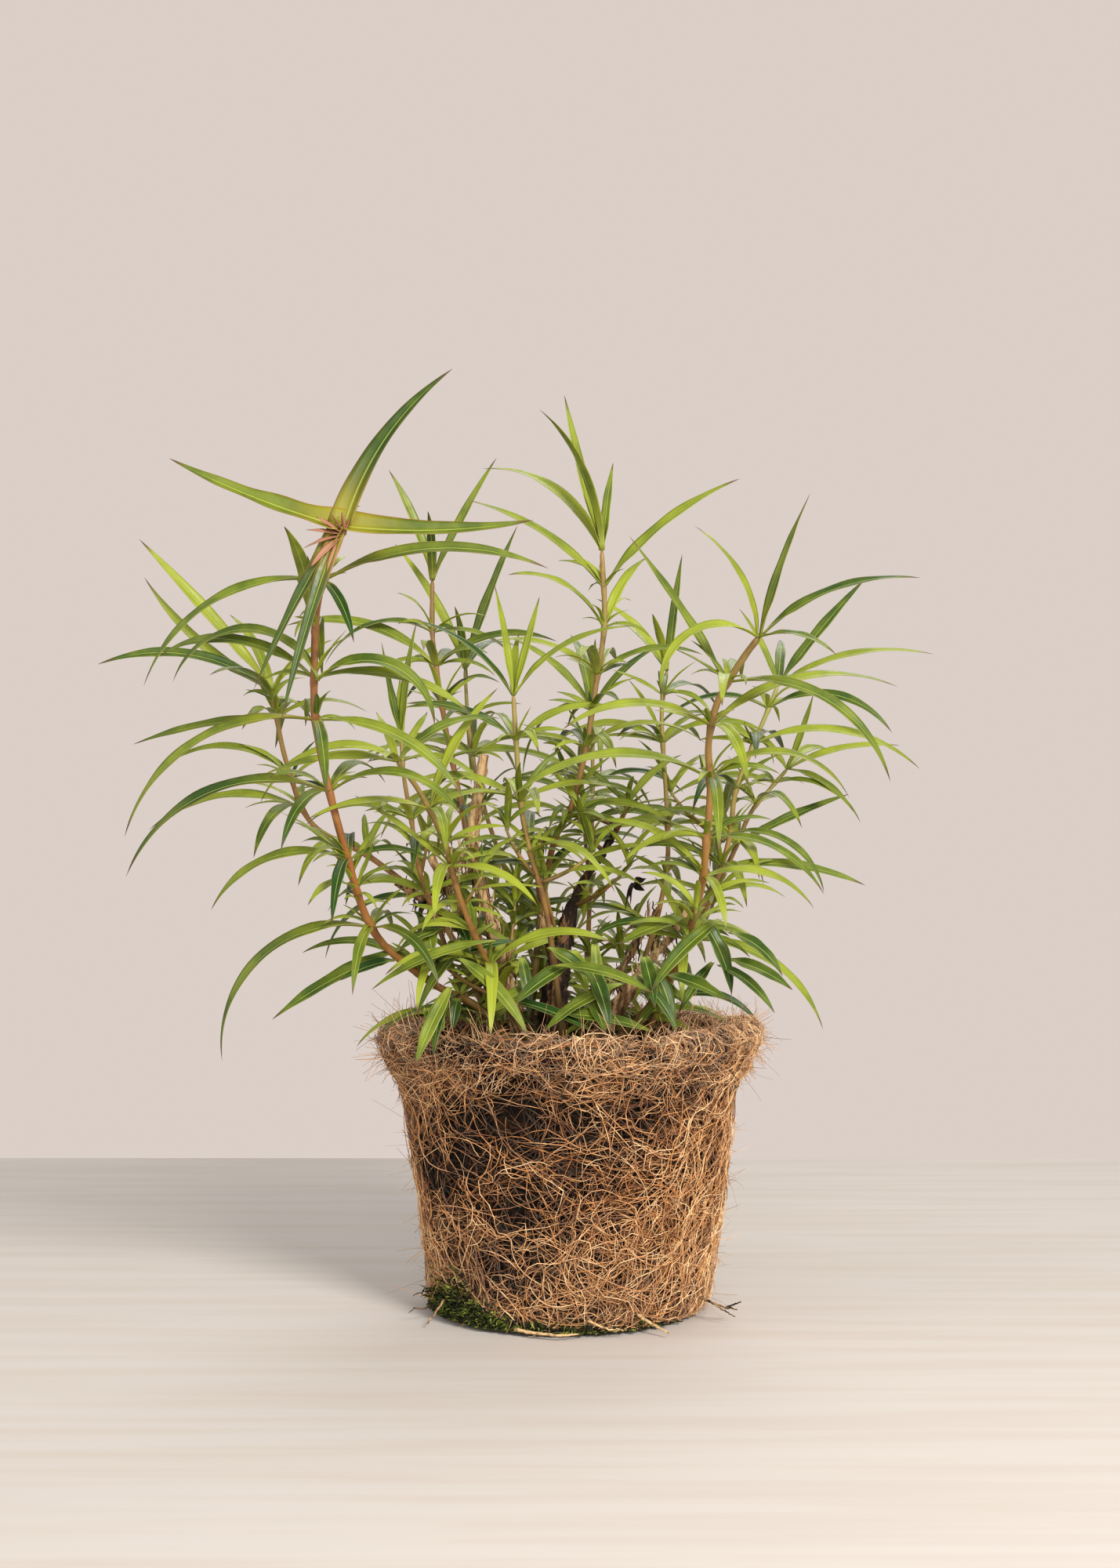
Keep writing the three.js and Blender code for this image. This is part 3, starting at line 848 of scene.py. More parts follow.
SHOOTS: dict[str, Shoot] = {
    "front_left": Shoot(
        path=((-20, -14, 0), (-33, -17, 17), (-51, -28, 28), (-70, -48, 47), (-79, -66, 77),
              (-87, -82, 117), (-87, -91, 145), (-84, -101, 165), (-75, -117, 184)),
        girth=(1.8, 1.35),
        whorls=(
            (3.1, (187, 82, 12, 108), (318, 42, 10, 80), (85, 48, 30, 70), (262, 40, 0, 70)),
            (3.9, (183, 55, 22, 85), (12, 30, 30, 60), (95, 44, 44, 80), (268, 46, 4, 66)),
            (4.5, (186, 83, 22, 90), (338, 57, 35, 90), (70, 46, 50, 90), (250, 44, 6, 70)),
            (5.15, (190, 82, 10, 84), (352, 60, 4, 62), (100, 52, 40, 80), (282, 46, -6, 60)),
            (7.15, (182, 74, 8, 78), (5, 78, 30, 52), (92, 56, 36, 70), (300, 34, -20, 44)),
        ),
        tip=((177, 61, 16, -12), (18, 66, 74, 36), (2, 62, -6, -16), (200, 61, -58, 8), (222, 68, -66, 8),
             (80, 24, 40, 30)),
        warm=0.85, tone=0.35, broad=1.85, star=0.9,
    ),
    "front_centre": Shoot(
        path=((-12, -25, 0), (-21, -26, 16), (-28, -30, 30), (-37, -42, 52), (-42, -50, 68),
              (-45, -58, 81), (-53, -68, 98), (-60, -77, 108)),
        girth=(1.5, 1),
        whorls=(
            (2.2, (202, 43, 35, 75), (352, 50, 50, 78), (275, 52, 20, 100)),
            (4.2, (205, 44, 42, 12), (330, 40, 10, 60), (262, 44, 16, 84), (75, 34, 40, 70)),
            (5.6, (10, 50, 78, 34), (202, 46, 20, 50), (285, 40, 10, 70)),
        ),
        tip=((172, 50, 12, 36), (24, 44, 52, 60), (262, 30, 20, 40), (120, 26, 60, 30)),
        warm=0.55, tone=0.75,
    ),
    "left": Shoot(
        path=((-28, 5, 0), (-34, 6, 18), (-50, 9, 50), (-75, 12, 72), (-99, 10, 86), (-108, 5, 108),
              (-112, 0, 128), (-113, -3, 137)),
        girth=(1.6, 0.95),
        whorls=(
            (4.3, (183, 62, 26, 68), (100, 46, 40, 70), (250, 48, 14, 76), (350, 30, 60, 70)),
            (5.9, (176, 56, 0, 20), (20, 38, 40, 70), (82, 50, 34, 64), (262, 44, 22, 60)),
        ),
        tip=((181, 76, 52, 6), (190, 68, 38, 60), (168, 68, 24, -34), (130, 44, 66, 40), (30, 32, 60, 40)),
        warm=0.6, tone=0.55,
    ),
    "left_inner": Shoot(
        path=((-32, -8, 0), (-42, -14, 27), (-50, -22, 52), (-56, -28, 71), (-58, -30, 86),
              (-61, -31, 104), (-62, -31, 118)),
        girth=(1.25, 0.85),
        whorls=(
            (4.1, (80, 46, 38, 70), (255, 40, 40, 70), (172, 44, 34, 74), (4, 40, 44, 60)),
        ),
        tip=((170, 36, 76, -6), (15, 43, 88, 10), (95, 30, 60, 20)),
        warm=0.5, tone=0.6,
    ),
    "back_left": Shoot(
        path=((-20, 20, 0), (-27, 24, 27), (-38, 31, 67), (-43, 37, 94), (-49, 42, 122), (-53, 43, 147),
              (-55, 44, 164), (-55, 45, 184)),
        girth=(1.5, 1),
        whorls=(
            (5.1, (172, 67, 47, 62), (354, 52, 46, 68), (78, 60, 34, 70), (262, 44, 40, 70)),
        ),
        tip=((178, 48, 80, 22), (8, 56, 68, 10), (95, 46, 55, 40), (272, 34, 62, 30)),
        warm=0.7, tone=0.4,
    ),
    "back_inner": Shoot(
        path=((-6, 27, 0), (-13, 38, 27), (-26, 52, 67), (-36, 61, 97), (-41, 66, 124), (-43, 68, 150)),
        girth=(1.35, 0.85),
        whorls=(
            (3.6, (150, 58, 36, 76), (335, 50, 40, 80), (72, 58, 30, 70), (240, 44, 40, 74)),
        ),
        tip=((172, 60, 72, 22), (12, 64, 74, 8), (70, 52, 40, 50), (262, 30, 70, 30)),
        warm=0.3, tone=0.45,
    ),
    "centre": Shoot(
        path=((-2, -16, 0), (-5, -18, 27), (-9, -20, 55), (-14, -22, 73), (-18, -22, 92), (-20, -22, 117),
              (-21, -22, 134)),
        girth=(1.4, 1),
        whorls=(
            (4.1, (12, 44, 34, 60), (200, 44, 40, 60), (105, 34, 44, 60), (282, 44, 30, 76)),
            (5, (286, 34, 30, 80), (110, 40, 46, 60), (178, 44, 44, 50), (6, 40, 50, 60)),
        ),
        tip=((172, 42, 84, 6), (2, 38, 76, 0), (350, 54, 58, 58), (188, 46, 60, 44), (90, 30, 66, 20)),
        warm=0.35, tone=0.7,
    ),
    "tall_centre": Shoot(
        path=((-16, 10, 0), (-14, 9, 22), (-11, 5, 52), (-8, 0, 71), (-5, -7, 82), (1, -10, 94),
              (6, -12, 115), (10, -12, 140), (13, -12, 162), (12, -13, 189)),
        girth=(1.65, 1.1),
        whorls=(
            (6, (190, 46, 26, 60), (8, 50, 42, 80), (284, 46, 30, 84), (104, 50, 36, 76)),
            (7.1, (262, 54, 36, 68), (82, 58, 40, 62), (178, 44, 48, 60), (350, 42, 44, 66)),
            (7.9, (205, 46, 62, 74), (52, 40, 70, 44)),
            (8.5, (174, 62, 52, 38), (3, 66, 56, 34)),
        ),
        tip=((178, 60, 75, -4), (236, 64, 80, 60), (140, 72, 62, 60), (40, 34, 86, 10)),
        warm=0.55, tone=0.5,
    ),
    "back": Shoot(
        path=((4, 30, 0), (7, 50, 27), (9, 72, 67), (10, 86, 102), (10, 94, 134)),
        girth=(1.4, 0.9),
        whorls=(
            (3, (62, 58, 32, 86), (236, 44, 40, 70), (150, 56, 30, 74), (330, 46, 34, 76)),
        ),
        tip=((100, 60, 58, 40), (20, 50, 60, 40), (168, 48, 62, 40), (275, 34, 70, 20)),
        warm=0.4, tone=0.4,
    ),
    "front_right": Shoot(
        path=((16, -4, 0), (24, -7, 10), (31, -10, 19), (38, -16, 30), (43, -24, 43), (48, -36, 64),
              (49, -43, 77), (50, -52, 99), (49, -58, 115), (52, -64, 130), (60, -71, 144), (65, -77, 151)),
        girth=(1.85, 1.35),
        whorls=(
            (4, (352, 64, 6, 78), (262, 34, -6, 80), (172, 40, 44, 90)),
            (5.2, (178, 48, 62, 70), (284, 34, 4, 84), (20, 50, 20, 70)),
            (7.2, (194, 80, 30, 74), (350, 57, 46, 108), (272, 50, 6, 80), (92, 44, 40, 70)),
            (8.4, (196, 58, 32, 68), (8, 74, 44, 64), (286, 48, 4, 66)),
            (9.4, (350, 72, 10, 84), (172, 62, 60, 6), (262, 42, 20, 70), (76, 50, 40, 70)),
        ),
        tip=((6, 53, 76, 10), (176, 46, 88, 54), (354, 60, 46, 52), (190, 50, 36, 134), (312, 36, 12, 50)),
        warm=0.6, tone=0.55,
    ),
    "back_right": Shoot(
        path=((28, 8, 0), (36, 9, 20), (46, 9, 45), (57, 10, 66), (62, 11, 82), (64, 12, 98),
              (70, 14, 114), (76, 15, 128), (81, 16, 140)),
        girth=(1.55, 0.95),
        whorls=(
            (3.2, (356, 56, 10, 34), (176, 40, 44, 70), (280, 44, 20, 80), (88, 54, 26, 76)),
            (6.2, (354, 68, 26, 69), (140, 40, 50, 60), (268, 46, 26, 70), (70, 52, 30, 66)),
        ),
        tip=((4, 54, 56, 10), (352, 62, 34, 46), (80, 42, 50, 40), (160, 34, 74, 20)),
        warm=0.15, tone=0.45,
    ),
    "right_inner": Shoot(
        path=((14, 14, 0), (22, 17, 17), (32, 19, 42), (38, 20, 69), (38, 20, 92), (36, 20, 128),
              (38, 20, 146)),
        girth=(1.4, 0.9),
        whorls=(
            (4.7, (66, 46, 36, 66), (246, 40, 40, 76), (160, 46, 40, 76), (338, 44, 40, 70)),
        ),
        tip=((10, 46, 84, 2), (178, 40, 68, 44), (120, 46, 50, 40), (250, 30, 64, 40)),
        warm=0.4, tone=0.6,
    ),
    "right_low": Shoot(
        path=((24, 25, 0), (38, 30, 20), (52, 34, 48), (64, 36, 72), (72, 38, 90), (80, 39, 100),
              (87, 40, 108)),
        girth=(1.4, 0.85),
        whorls=(
            (3.3, (10, 50, 30, 12), (100, 48, 20, 60), (280, 40, 20, 80)),
        ),
        tip=((356, 46, 30, 36), (8, 32, 66, -10), (330, 34, -8, 46), (60, 44, 36, 50), (150, 26, 60, 30)),
        warm=0.3, tone=0.6,
    ),
}

OLD_WOOD: dict[str, Shoot] = {
    "old_stump_centre": Shoot(
        path=((-7, -2, 0), (-6, -2, 20), (-3, -1, 40), (3, 1, 60), (12, 3, 74), (19, 4, 86)),
        girth=(4.4, 1.3),
        whorls=(), tip=(),
    ),
    "old_stump_right": Shoot(
        path=((7, -21, 0), (13, -22, 11), (20, -23, 22), (27, -23, 31)),
        girth=(3.2, 2.3),
        whorls=(), tip=(),
    ),
    "old_cut_stem": Shoot(
        path=((-18, -3, 0), (-24, -6, 28), (-33, -12, 62), (-36, -18, 80), (-32, -22, 112)),
        girth=(2.6, 2.1),
        whorls=(), tip=(),
    ),
}


def grown(shoot: Shoot, at_share: float) -> np.ndarray:
    """The stem's centre at a share of its length, in millimetres."""
    line = shoot.points(241)
    return line[min(240, max(0, round(at_share * 240)))]


@dataclass
class Stems:
    """All the soft stems, each swollen where its leaves grow.

    Attributes:
        sides: Faces round a stem.
        ring_gap: Millimetres between rings.
        swelling: How much wider a stem is at a whorl, as a share of its radius.
        slimness: A stem's radius between whorls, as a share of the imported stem's.
    """

    sides: int = 14
    ring_gap: float = 1.6
    swelling: float = 0.3
    slimness: float = 0.86

    def radius(self, shoot: Shoot, line: np.ndarray) -> np.ndarray:
        """The stem's radius at each point of its line, in millimetres."""
        share = np.linspace(0, 1, len(line))
        radius = self.slimness * (shoot.girth[0] + (shoot.girth[1] - shoot.girth[0]) * share)
        radius = radius * (1 + 0.03 * np.sin(share * 57) + 0.02 * np.sin(share * 131))
        ends = [shoot.share(whorl[0]) for whorl in shoot.whorls] + [1.0]
        ends += list(MoreLeaves.stations(shoot))
        for end in ends:
            away = (share - end) * shoot.length()
            radius = radius * (1 + self.swelling * np.exp(-(away**2) / 2.6))
        radius[-2:] *= (0.8, 0.4)
        return radius

    def build(self, finish: bpy.types.Material) -> None:
        """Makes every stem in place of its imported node."""
        for name, shoot in SHOOTS.items():
            count = int(shoot.length() / self.ring_gap)
            rod = rod_shape(self.sides, count)
            line = shoot.points(count)
            lean = line[-1] - line[0]
            outward = np.array((-lean[1], lean[0], 0.0)) + (0.01, 0.02, 0)
            stem = Copies(rod)
            stem.add(wrap_round(rod, line, outward, self.radius(shoot, line)) * MM, warm=shoot.warm)
            piece = dress(stem.gather(name + "_soft_stem"), Slot.STEM, finish)
            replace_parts(piece, name + "_stem")


def clear_of_pot(line: np.ndarray) -> bool:
    """True where a leaf's line in millimetres stays out of the pot and the compost."""
    far = np.hypot(line[:, 0], line[:, 1])
    inside = (far < 71.5) & (line[:, 2] < POT_HEIGHT + 1.5) & (far > 56)
    sunk = (far <= 56) & (line[:, 2] < COMPOST_TOP + 0.5)
    outside = (far < 66 + np.maximum(0, line[:, 2] - 80) * 0.25) & (line[:, 2] < 104) & (far > 56)
    return not bool((inside | sunk | outside)[3:].any())


def shows_stump(line: np.ndarray) -> bool:
    """True where a small leaf's line in millimetres leaves the old stump in the middle open to the front."""
    over = (np.abs(line[:, 0] + 5) < 13) & (line[:, 2] < 158) & (line[:, 1] < -6)
    return not bool(over.any())


def inside_box(line: np.ndarray, room: float = 3.0) -> bool:
    """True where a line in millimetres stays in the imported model's box, apart from some room."""
    low, high = (np.array(corner) / MM for corner in CAD_BOX)
    return bool((line > low - room).all() and (line < high + room).all())


def settled(leaf: Leaf) -> Leaf | None:
    """A leaf eased until it clears the pot and the box.

    Args:
        leaf: The leaf as first meant.

    Returns:
        The leaf, less bent or shorter where it needs to be, or None where nothing helps.
    """
    for ease in range(7):
        bent = Leaf(leaf.start, leaf.heading, leaf.length * 0.93**ease, leaf.rise + 4 * ease,
                    leaf.droop * 0.88**ease, leaf.width, leaf.sway, leaf.roll, leaf.tone, leaf.warm)
        line, _, _ = bent.centre_line(np.linspace(0, 1, 21))
        if clear_of_pot(line) and inside_box(line) and shows_stump(line):
            return bent
    return None


@dataclass
class Whorls:
    """The leaves that the frame has: pairs along the stems and the tufts at their ends.

    Attributes:
        blade: The flat leaf that each is bent from.
        width_base: A leaf's width in millimetres at no length.
        width_share: What each millimetre of length adds to it.
    """

    blade: Shape
    width_base: float = 1.7
    width_share: float = 0.056

    def leaf(self, shoot: Shoot, share: float, row: tuple, chance: np.random.Generator) -> Leaf:
        """One leaf of a whorl, with a little of its own sway and colour."""
        heading, length, rise, droop = row
        out = np.radians(heading)
        centre = grown(shoot, share)
        start = centre + 0.55 * shoot.girth[1] * np.array((math.cos(out), math.sin(out), 0))
        tone = float(np.clip(shoot.tone + chance.normal(0, 0.2), 0, 1))
        warm = float(np.clip(shoot.warm * chance.uniform(0.2, 1.0) - 0.2, 0, 1))
        width = self.width_base + self.width_share * length
        roll, foot, taper = chance.normal(0, 14), 0.5, 0.0
        if share == 1.0 and shoot.star:
            width *= shoot.broad * (0.62 if rise < -20 else 1.0)
            warm, foot, taper = max(warm, shoot.star), 1.0, 0.9
            roll = 0.3 * roll + 20 * math.cos(math.radians(heading))
            tone = 0.15 if abs(rise) > 20 else 0.36
        sway = chance.normal(0, 7) * (1 - 0.6 * taper)
        return Leaf(tuple(start), heading, length, rise, droop, width, sway, roll, tone, warm, foot, taper)

    def build(self, top: bpy.types.Material, under: bpy.types.Material) -> None:
        """Makes a piece for every leaf node."""
        chance = np.random.default_rng(11)
        for name, shoot in SHOOTS.items():
            groups = [
                (f"{name}_leaves_{i + 1}", shoot.share(w[0]), w[1:]) for i, w in enumerate(shoot.whorls)]
            groups.append((name + "_tip", 1.0, shoot.tip))
            for node, share, rows in groups:
                leaves = Copies(self.blade)
                for row in rows:
                    leaf = self.leaf(shoot, share, row, chance)
                    leaves.add(leaf.bend(self.blade), tone=leaf.tone, warm=leaf.warm)
                piece = dress(leaves.gather(node + "_blades"), Slot.LEAF, top, under)
                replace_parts(piece, node)


@dataclass
class MoreLeaves:
    """The leaves between the frame's whorls, and the small ones in the leaf axils.

    Attributes:
        blade: The flat leaf for the long ones.
        small: The flat leaf for the small ones.
    """

    blade: Shape
    small: Shape

    GAP = 19.0

    @classmethod
    def stations(cls, shoot: Shoot) -> np.ndarray:
        """The shares of a stem where pairs grow between its whorls."""
        taken = np.array([shoot.share(w[0]) for w in shoot.whorls] + [1.0])
        length = shoot.length()
        wanted = np.arange(0.2, 0.97, cls.GAP / length)
        return np.array([s for s in wanted if (np.abs(taken - s) * length).min() > 8])

    def pair(self, shoot: Shoot, share: float, heading: float, chance: np.random.Generator) -> list[Leaf]:
        """An opposite pair at a share of a stem."""
        start = tuple(grown(shoot, share))
        made = []
        for side in (0, 180):
            length = chance.uniform(34, 62) * (0.8 + 0.3 * share)
            leaf = Leaf(start, heading + side + chance.normal(0, 12), length, chance.uniform(12, 52),
                        chance.uniform(50, 112), 1.6 + 0.052 * length, chance.normal(0, 10),
                        chance.normal(0, 18), float(np.clip(shoot.tone + chance.normal(0, 0.24), 0, 1)), 0)
            leaf = settled(leaf)
            if leaf:
                made.append(leaf)
        return made

    def axil(self, shoot: Shoot, share: float, chance: np.random.Generator, count: int) -> list[Leaf]:
        """Small leaves that crowd a node."""
        start = tuple(grown(shoot, share))
        made = []
        for _ in range(count):
            length = chance.uniform(9, 30)
            leaf = Leaf(start, chance.uniform(0, 360), length, chance.uniform(20, 75),
                        chance.uniform(20, 90), 0.9 + 0.065 * length,
                        chance.normal(0, 16), chance.normal(0, 24),
                        float(np.clip(0.66 + chance.normal(0, 0.2), 0, 1)), 0)
            leaf = settled(leaf)
            if leaf:
                made.append(leaf)
        return made

    def build(self, top: bpy.types.Material, under: bpy.types.Material) -> None:
        """Makes two pieces for each stem: its further pairs and its small leaves."""
        chance = np.random.default_rng(23)
        for name, shoot in SHOOTS.items():
            pairs, small = Copies(self.blade), Copies(self.small)
            stations = self.stations(shoot)
            for k, share in enumerate(stations):
                for leaf in self.pair(shoot, share, chance.uniform(-20, 20) + 90 * (k % 2), chance):
                    pairs.add(leaf.bend(self.blade), tone=leaf.tone, warm=leaf.warm)
            nodes = [*stations, *(shoot.share(w[0]) for w in shoot.whorls)]
            for share in nodes:
                for leaf in self.axil(shoot, share, chance, 5):
                    small.add(leaf.bend(self.small), tone=leaf.tone, warm=leaf.warm)
            for copies, ending in ((pairs, "_further_leaves"), (small, "_small_leaves")):
                if copies.placed:
                    dress(copies.gather(name + ending), Slot.LEAF, top, under)


@dataclass(frozen=True)
class SideShoot:
    """A short leafy side shoot: its start, heading, length and rise, in millimetres and degrees."""

    start: tuple[float, float, float]
    heading: float
    length: float
    rise: float

    def line(self, count: int = 18) -> np.ndarray:
        """Its centre line, which bends upwards as it grows."""
        share = np.linspace(0, 1, count)
        lift = np.radians(self.rise + 26 * share)
        out = np.radians(self.heading)
        steps = np.stack([np.cos(out) * np.cos(lift), np.sin(out) * np.cos(lift), np.sin(lift)], 1)
        return np.array(self.start) + np.cumsum(steps, 0) * self.length / count


@dataclass
class SideShoots:
    """Short leafy side shoots low in the plant and on the old wood.

    Attributes:
        small: The flat leaf for their leaves.
        count: How many grow from the stems.
    """

    small: Shape
    count: int = 22

    def places(self, chance: np.random.Generator) -> list[SideShoot]:
        """Where they grow."""
        shoots = list(SHOOTS.values())
        made = []
        for k in range(self.count):
            shoot = shoots[k % len(shoots)]
            start = grown(shoot, chance.uniform(0.16, 0.6))
            made.append(SideShoot(tuple(start), chance.uniform(0, 360), chance.uniform(16, 40),
                                  chance.uniform(15, 60)))
        stump = OLD_WOOD["old_stump_centre"]
        for share in (0.5, 0.62, 0.75, 0.86, 0.93, 0.99):
            made.append(SideShoot(tuple(grown(stump, share)), chance.uniform(0, 360), chance.uniform(18, 34),
                                  chance.uniform(5, 50)))
        return made

    def build(self, stem: bpy.types.Material, top: bpy.types.Material, under: bpy.types.Material) -> None:
        """Makes the thin stems and their leaves."""
        chance = np.random.default_rng(37)
        rod = rod_shape(7, 18)
        stems, leaves = Copies(rod), Copies(self.small)
        for side in self.places(chance):
            line = side.line()
            if not inside_box(line, -4):
                continue
            radius = np.linspace(0.95, 0.5, 18)
            points = wrap_round(rod, line, np.array((0.3, 0.2, 1.0)), radius) * MM
            stems.add(points, warm=chance.uniform(0, 0.6))
            for k, place in enumerate((5, 9, 13, 16, 17)):
                for turn in (0, 180):
                    length = chance.uniform(13, 34) * (1 if place < 17 else 0.7)
                    rise = chance.uniform(15, 50) if place < 16 else chance.uniform(55, 80)
                    heading = side.heading + 90 * k + turn + chance.normal(0, 14)
                    leaf = settled(Leaf(tuple(line[place]), heading, length, rise,
                                        chance.uniform(20, 80), 0.9 + 0.068 * length,
                                        chance.normal(0, 12), chance.normal(0, 18),
                                        float(np.clip(0.7 + chance.normal(0, 0.2), 0, 1)), 0))
                    if leaf:
                        leaves.add(leaf.bend(self.small), tone=leaf.tone, warm=leaf.warm)
        dress(stems.gather("side_shoot_stems"), Slot.STEM, stem)
        dress(leaves.gather("side_shoot_leaves"), Slot.LEAF, top, under)


@dataclass
class PlacedLeaves:
    """Single leaves in places of their own: low ones that hang over the lip, buds and dead leaves.

    Attributes:
        blade: The flat leaf that each is bent from.
        name: The piece's name.
        rows: For each, its start, its tip, its bend, width, roll and tone.
    """

    blade: Shape
    name: str
    rows: tuple

    def build(self, top: bpy.types.Material, under: bpy.types.Material) -> None:
        """Makes the one piece that holds them."""
        leaves = Copies(self.blade)
        for row in self.rows:
            leaf = Leaf.between(*row)
            leaves.add(leaf.bend(self.blade), tone=0.56 * leaf.tone, warm=0.0)
        dress(leaves.gather(self.name), Slot.LEAF, top, under)


def low_leaves(count: int = 36) -> tuple:
    """Short leaves in front of the low shoots, from side to side, some of them over the lip.

    Args:
        count: How many leaves there are, beside the pair on the left stem.

    Returns:
        For each leaf, its start, its tip, its bend, width, roll and tone.
    """
    chance = np.random.default_rng(29)
    joint = np.array(LEFT_JOINT)
    rows = [(joint, joint + (-50, 5, 0), 140, 5.2, 0, 0.7), (joint, joint + (40, -5, -15), 130, 6.4, 0, 0.6)]
    for k in range(count):
        across = 64 * (2 * (k + 0.5) / count - 1) + chance.normal(0, 4)
        start = np.array((across, chance.uniform(-54, -26), chance.uniform(114, 150)))
        reach = (chance.normal(0.25 * across, 18), -chance.uniform(4, 22), -chance.uniform(6, 34))
        tip = start + reach
        if math.hypot(tip[0], tip[1]) < CLEAR_OF_LIP:
            tip[2] = max(tip[2], POT_HEIGHT + 3)
        bend, width = chance.uniform(14, 50), chance.uniform(3.8, 6.8)
        rows.append((start, tip, bend, width, 0, chance.uniform(0.2, 0.9)))
    return tuple(rows)


def bud_scales(count: int = 8) -> tuple:
    """Small scales that open like a fan round the tip of the left stem, the lowest one longest."""
    tip = np.array(LEFT_TIP)
    rows = []
    for k in range(count):
        turn = math.radians(70 + 26 * k)
        end = tip + (6 + 1.6 * k) * np.array((math.cos(turn), -0.25, math.sin(turn)))
        rows.append((tip, end, 6 * k - 14, 1.6 + 0.18 * k, 20 * (k % 3 - 1), 0.2 + 0.1 * k))
    return tuple(rows)


def dead_leaves(count: int = 8) -> tuple:
    """Curled scraps at the two cut ends of the old wood."""
    chance = np.random.default_rng(31)
    rows = []
    for k in range(count):
        cut = CUT_ENDS[k % 2]
        end = cut + chance.normal(0, 6, 3) + (0, -5, -5)
        bend, width = chance.uniform(30, 90), chance.uniform(1.2, 4)
        rows.append((np.array(cut), end, bend, width, chance.uniform(60, 160), 0.2))
    return tuple(rows)


OLD_BRANCHES = {
    "left_branch": (((-16, -10, 96), (-25, -14, 122), (-37, -15, 144), (-45, -16, 156), (-52, -16, 170)),
                    2.1, 1.5, 0.4),
    "left_fork": (((-34, -14, 140), (-42, -10, 143), (-54, -6, 152), (-66, -4, 160)), 1.5, 1.0, 0.35),
    "left_twig": (((-45, -16, 156), (-43, -20, 166), (-36, -22, 172)), 1.2, 0.8, 0.7),
    "right_branch": (((22, -20, 122), (31, -17, 133), (37, -15, 139), (44, -12, 150)), 1.5, 1.2, 0.75),
    "centre_branch": (((-3, 2, 120), (-9, 4, 138), (-12, 6, 160), (-10, 8, 178)), 1.3, 0.8, 0.5),
    "right_twig": (((14, 6, 116), (26, 8, 136), (34, 8, 150)), 1.1, 0.7, 0.45),
}


@dataclass
class OldWood:
    """The cut and broken stems of earlier seasons, with shaggy bark.

    Attributes:
        sides: Faces round each.
        tones: How pale each one is.
        form: How each one's radius runs from its ground to its end, in millimetres.
        shag: How far its bark stands off.
    """

    sides: int = 22
    tones: dict[str, float] = field(default_factory=lambda: {
        "old_stump_centre": 0.02, "old_stump_right": 0.5, "old_cut_stem": 0.72})
    form: dict[str, tuple] = field(default_factory=lambda: {
        "old_stump_centre": (
            (0, 3.4), (0.2, 4.6), (0.34, 4.9), (0.46, 3.4), (0.58, 3.1), (0.64, 1.6), (1, 1.1)),
        "old_stump_right": ((0, 3.4), (0.5, 3.2), (1, 2.2)),
        "old_cut_stem": ((0, 2.7), (0.62, 2.0), (0.7, 2.7), (0.76, 2.0), (1, 1.9))})

    def piece(self, line: np.ndarray, radius: np.ndarray, tone: float, shag: float,
              chance: np.random.Generator) -> Copies:
        """One rough tube along a line."""
        count = len(line)
        rod = rod_shape(self.sides, count)
        points = wrap_round(rod, line, np.array((0.0, 1.0, 0.1)), radius)
        ring = np.rint(rod.points[:, 2] * (count - 1)).astype(int)
        round_it = np.arctan2(rod.points[:, 1], rod.points[:, 0])
        ridge = 0.12 * np.sin(round_it * 5 + ring * 0.11) + 0.08 * np.sin(round_it * 9 - ring * 0.07)
        ridge = shag * (ridge + 0.12 * chance.standard_normal(len(ring)))
        points = line[ring] + (points - line[ring]) * (1 + ridge)[:, None]
        body = Copies(rod)
        body.add(points * MM, tone=tone)
        return body

    def peel(self, strips: Copies, line: np.ndarray, radius: np.ndarray, tone: float, reach: float,
             chance: np.random.Generator) -> None:
        """Adds loose strips of bark along a line."""
        count = len(line)
        for _ in range(int(count * 1.3)):
            at = chance.integers(4, count - 6)
            turn = chance.uniform(0, 2 * math.pi)
            out = np.array((math.cos(turn), math.sin(turn), 0.2))
            run = np.linspace(0, 1, 7)[:, None]
            path = line[at] + out * (radius[at] + 0.2 + reach * run**2 * chance.uniform(0.1, 1))
            path = path + np.array((0, 0, 1.0)) * run * chance.uniform(-9, 9)
            path = path + chance.normal(0, 0.25, (7, 3))
            girth = np.full(7, chance.uniform(0.16, 0.6)) * np.linspace(1, 0.4, 7)
            shade = float(np.clip(tone + chance.normal(0.05, 0.25), 0, 1))
            strips.add(wrap_round(strips.shape, path, out, girth) * MM, tone=shade)

    def build(self, bark: bpy.types.Material) -> None:
        """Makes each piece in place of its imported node, then the further branches and the loose strips."""
        chance = np.random.default_rng(41)
        strips = Copies(rod_shape(4, 7))
        for name, wood in OLD_WOOD.items():
            line = wood.points(int(wood.length() / 1.1))
            radius = np.interp(np.linspace(0, 1, len(line)), *np.array(self.form[name]).T)
            radius = radius * (1 + 0.08 * np.sin(np.linspace(0, 31, len(line))))
            body = self.piece(line, radius, self.tones[name], 1.0, chance)
            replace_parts(dress(body.gather(name + "_bark"), Slot.OLD_WOOD, bark), name)
            thick = np.flatnonzero(radius > 1.9)
            self.peel(strips, line[thick], radius[thick], self.tones[name], 2.6, chance)
        for name, (corners, low, high, tone) in OLD_BRANCHES.items():
            line = smooth_path(np.array(corners, float), 44)
            radius = np.linspace(low, high, 44) * (1 + 0.1 * np.sin(np.arange(44) * 0.9))
            dress(self.piece(line, radius, tone, 0.6, chance).gather(name), Slot.OLD_WOOD, bark)
            self.peel(strips, line, radius, tone, 0.9, chance)
        dress(strips.gather("loose_bark_strips"), Slot.OLD_WOOD, bark)


# ---- The pot ----


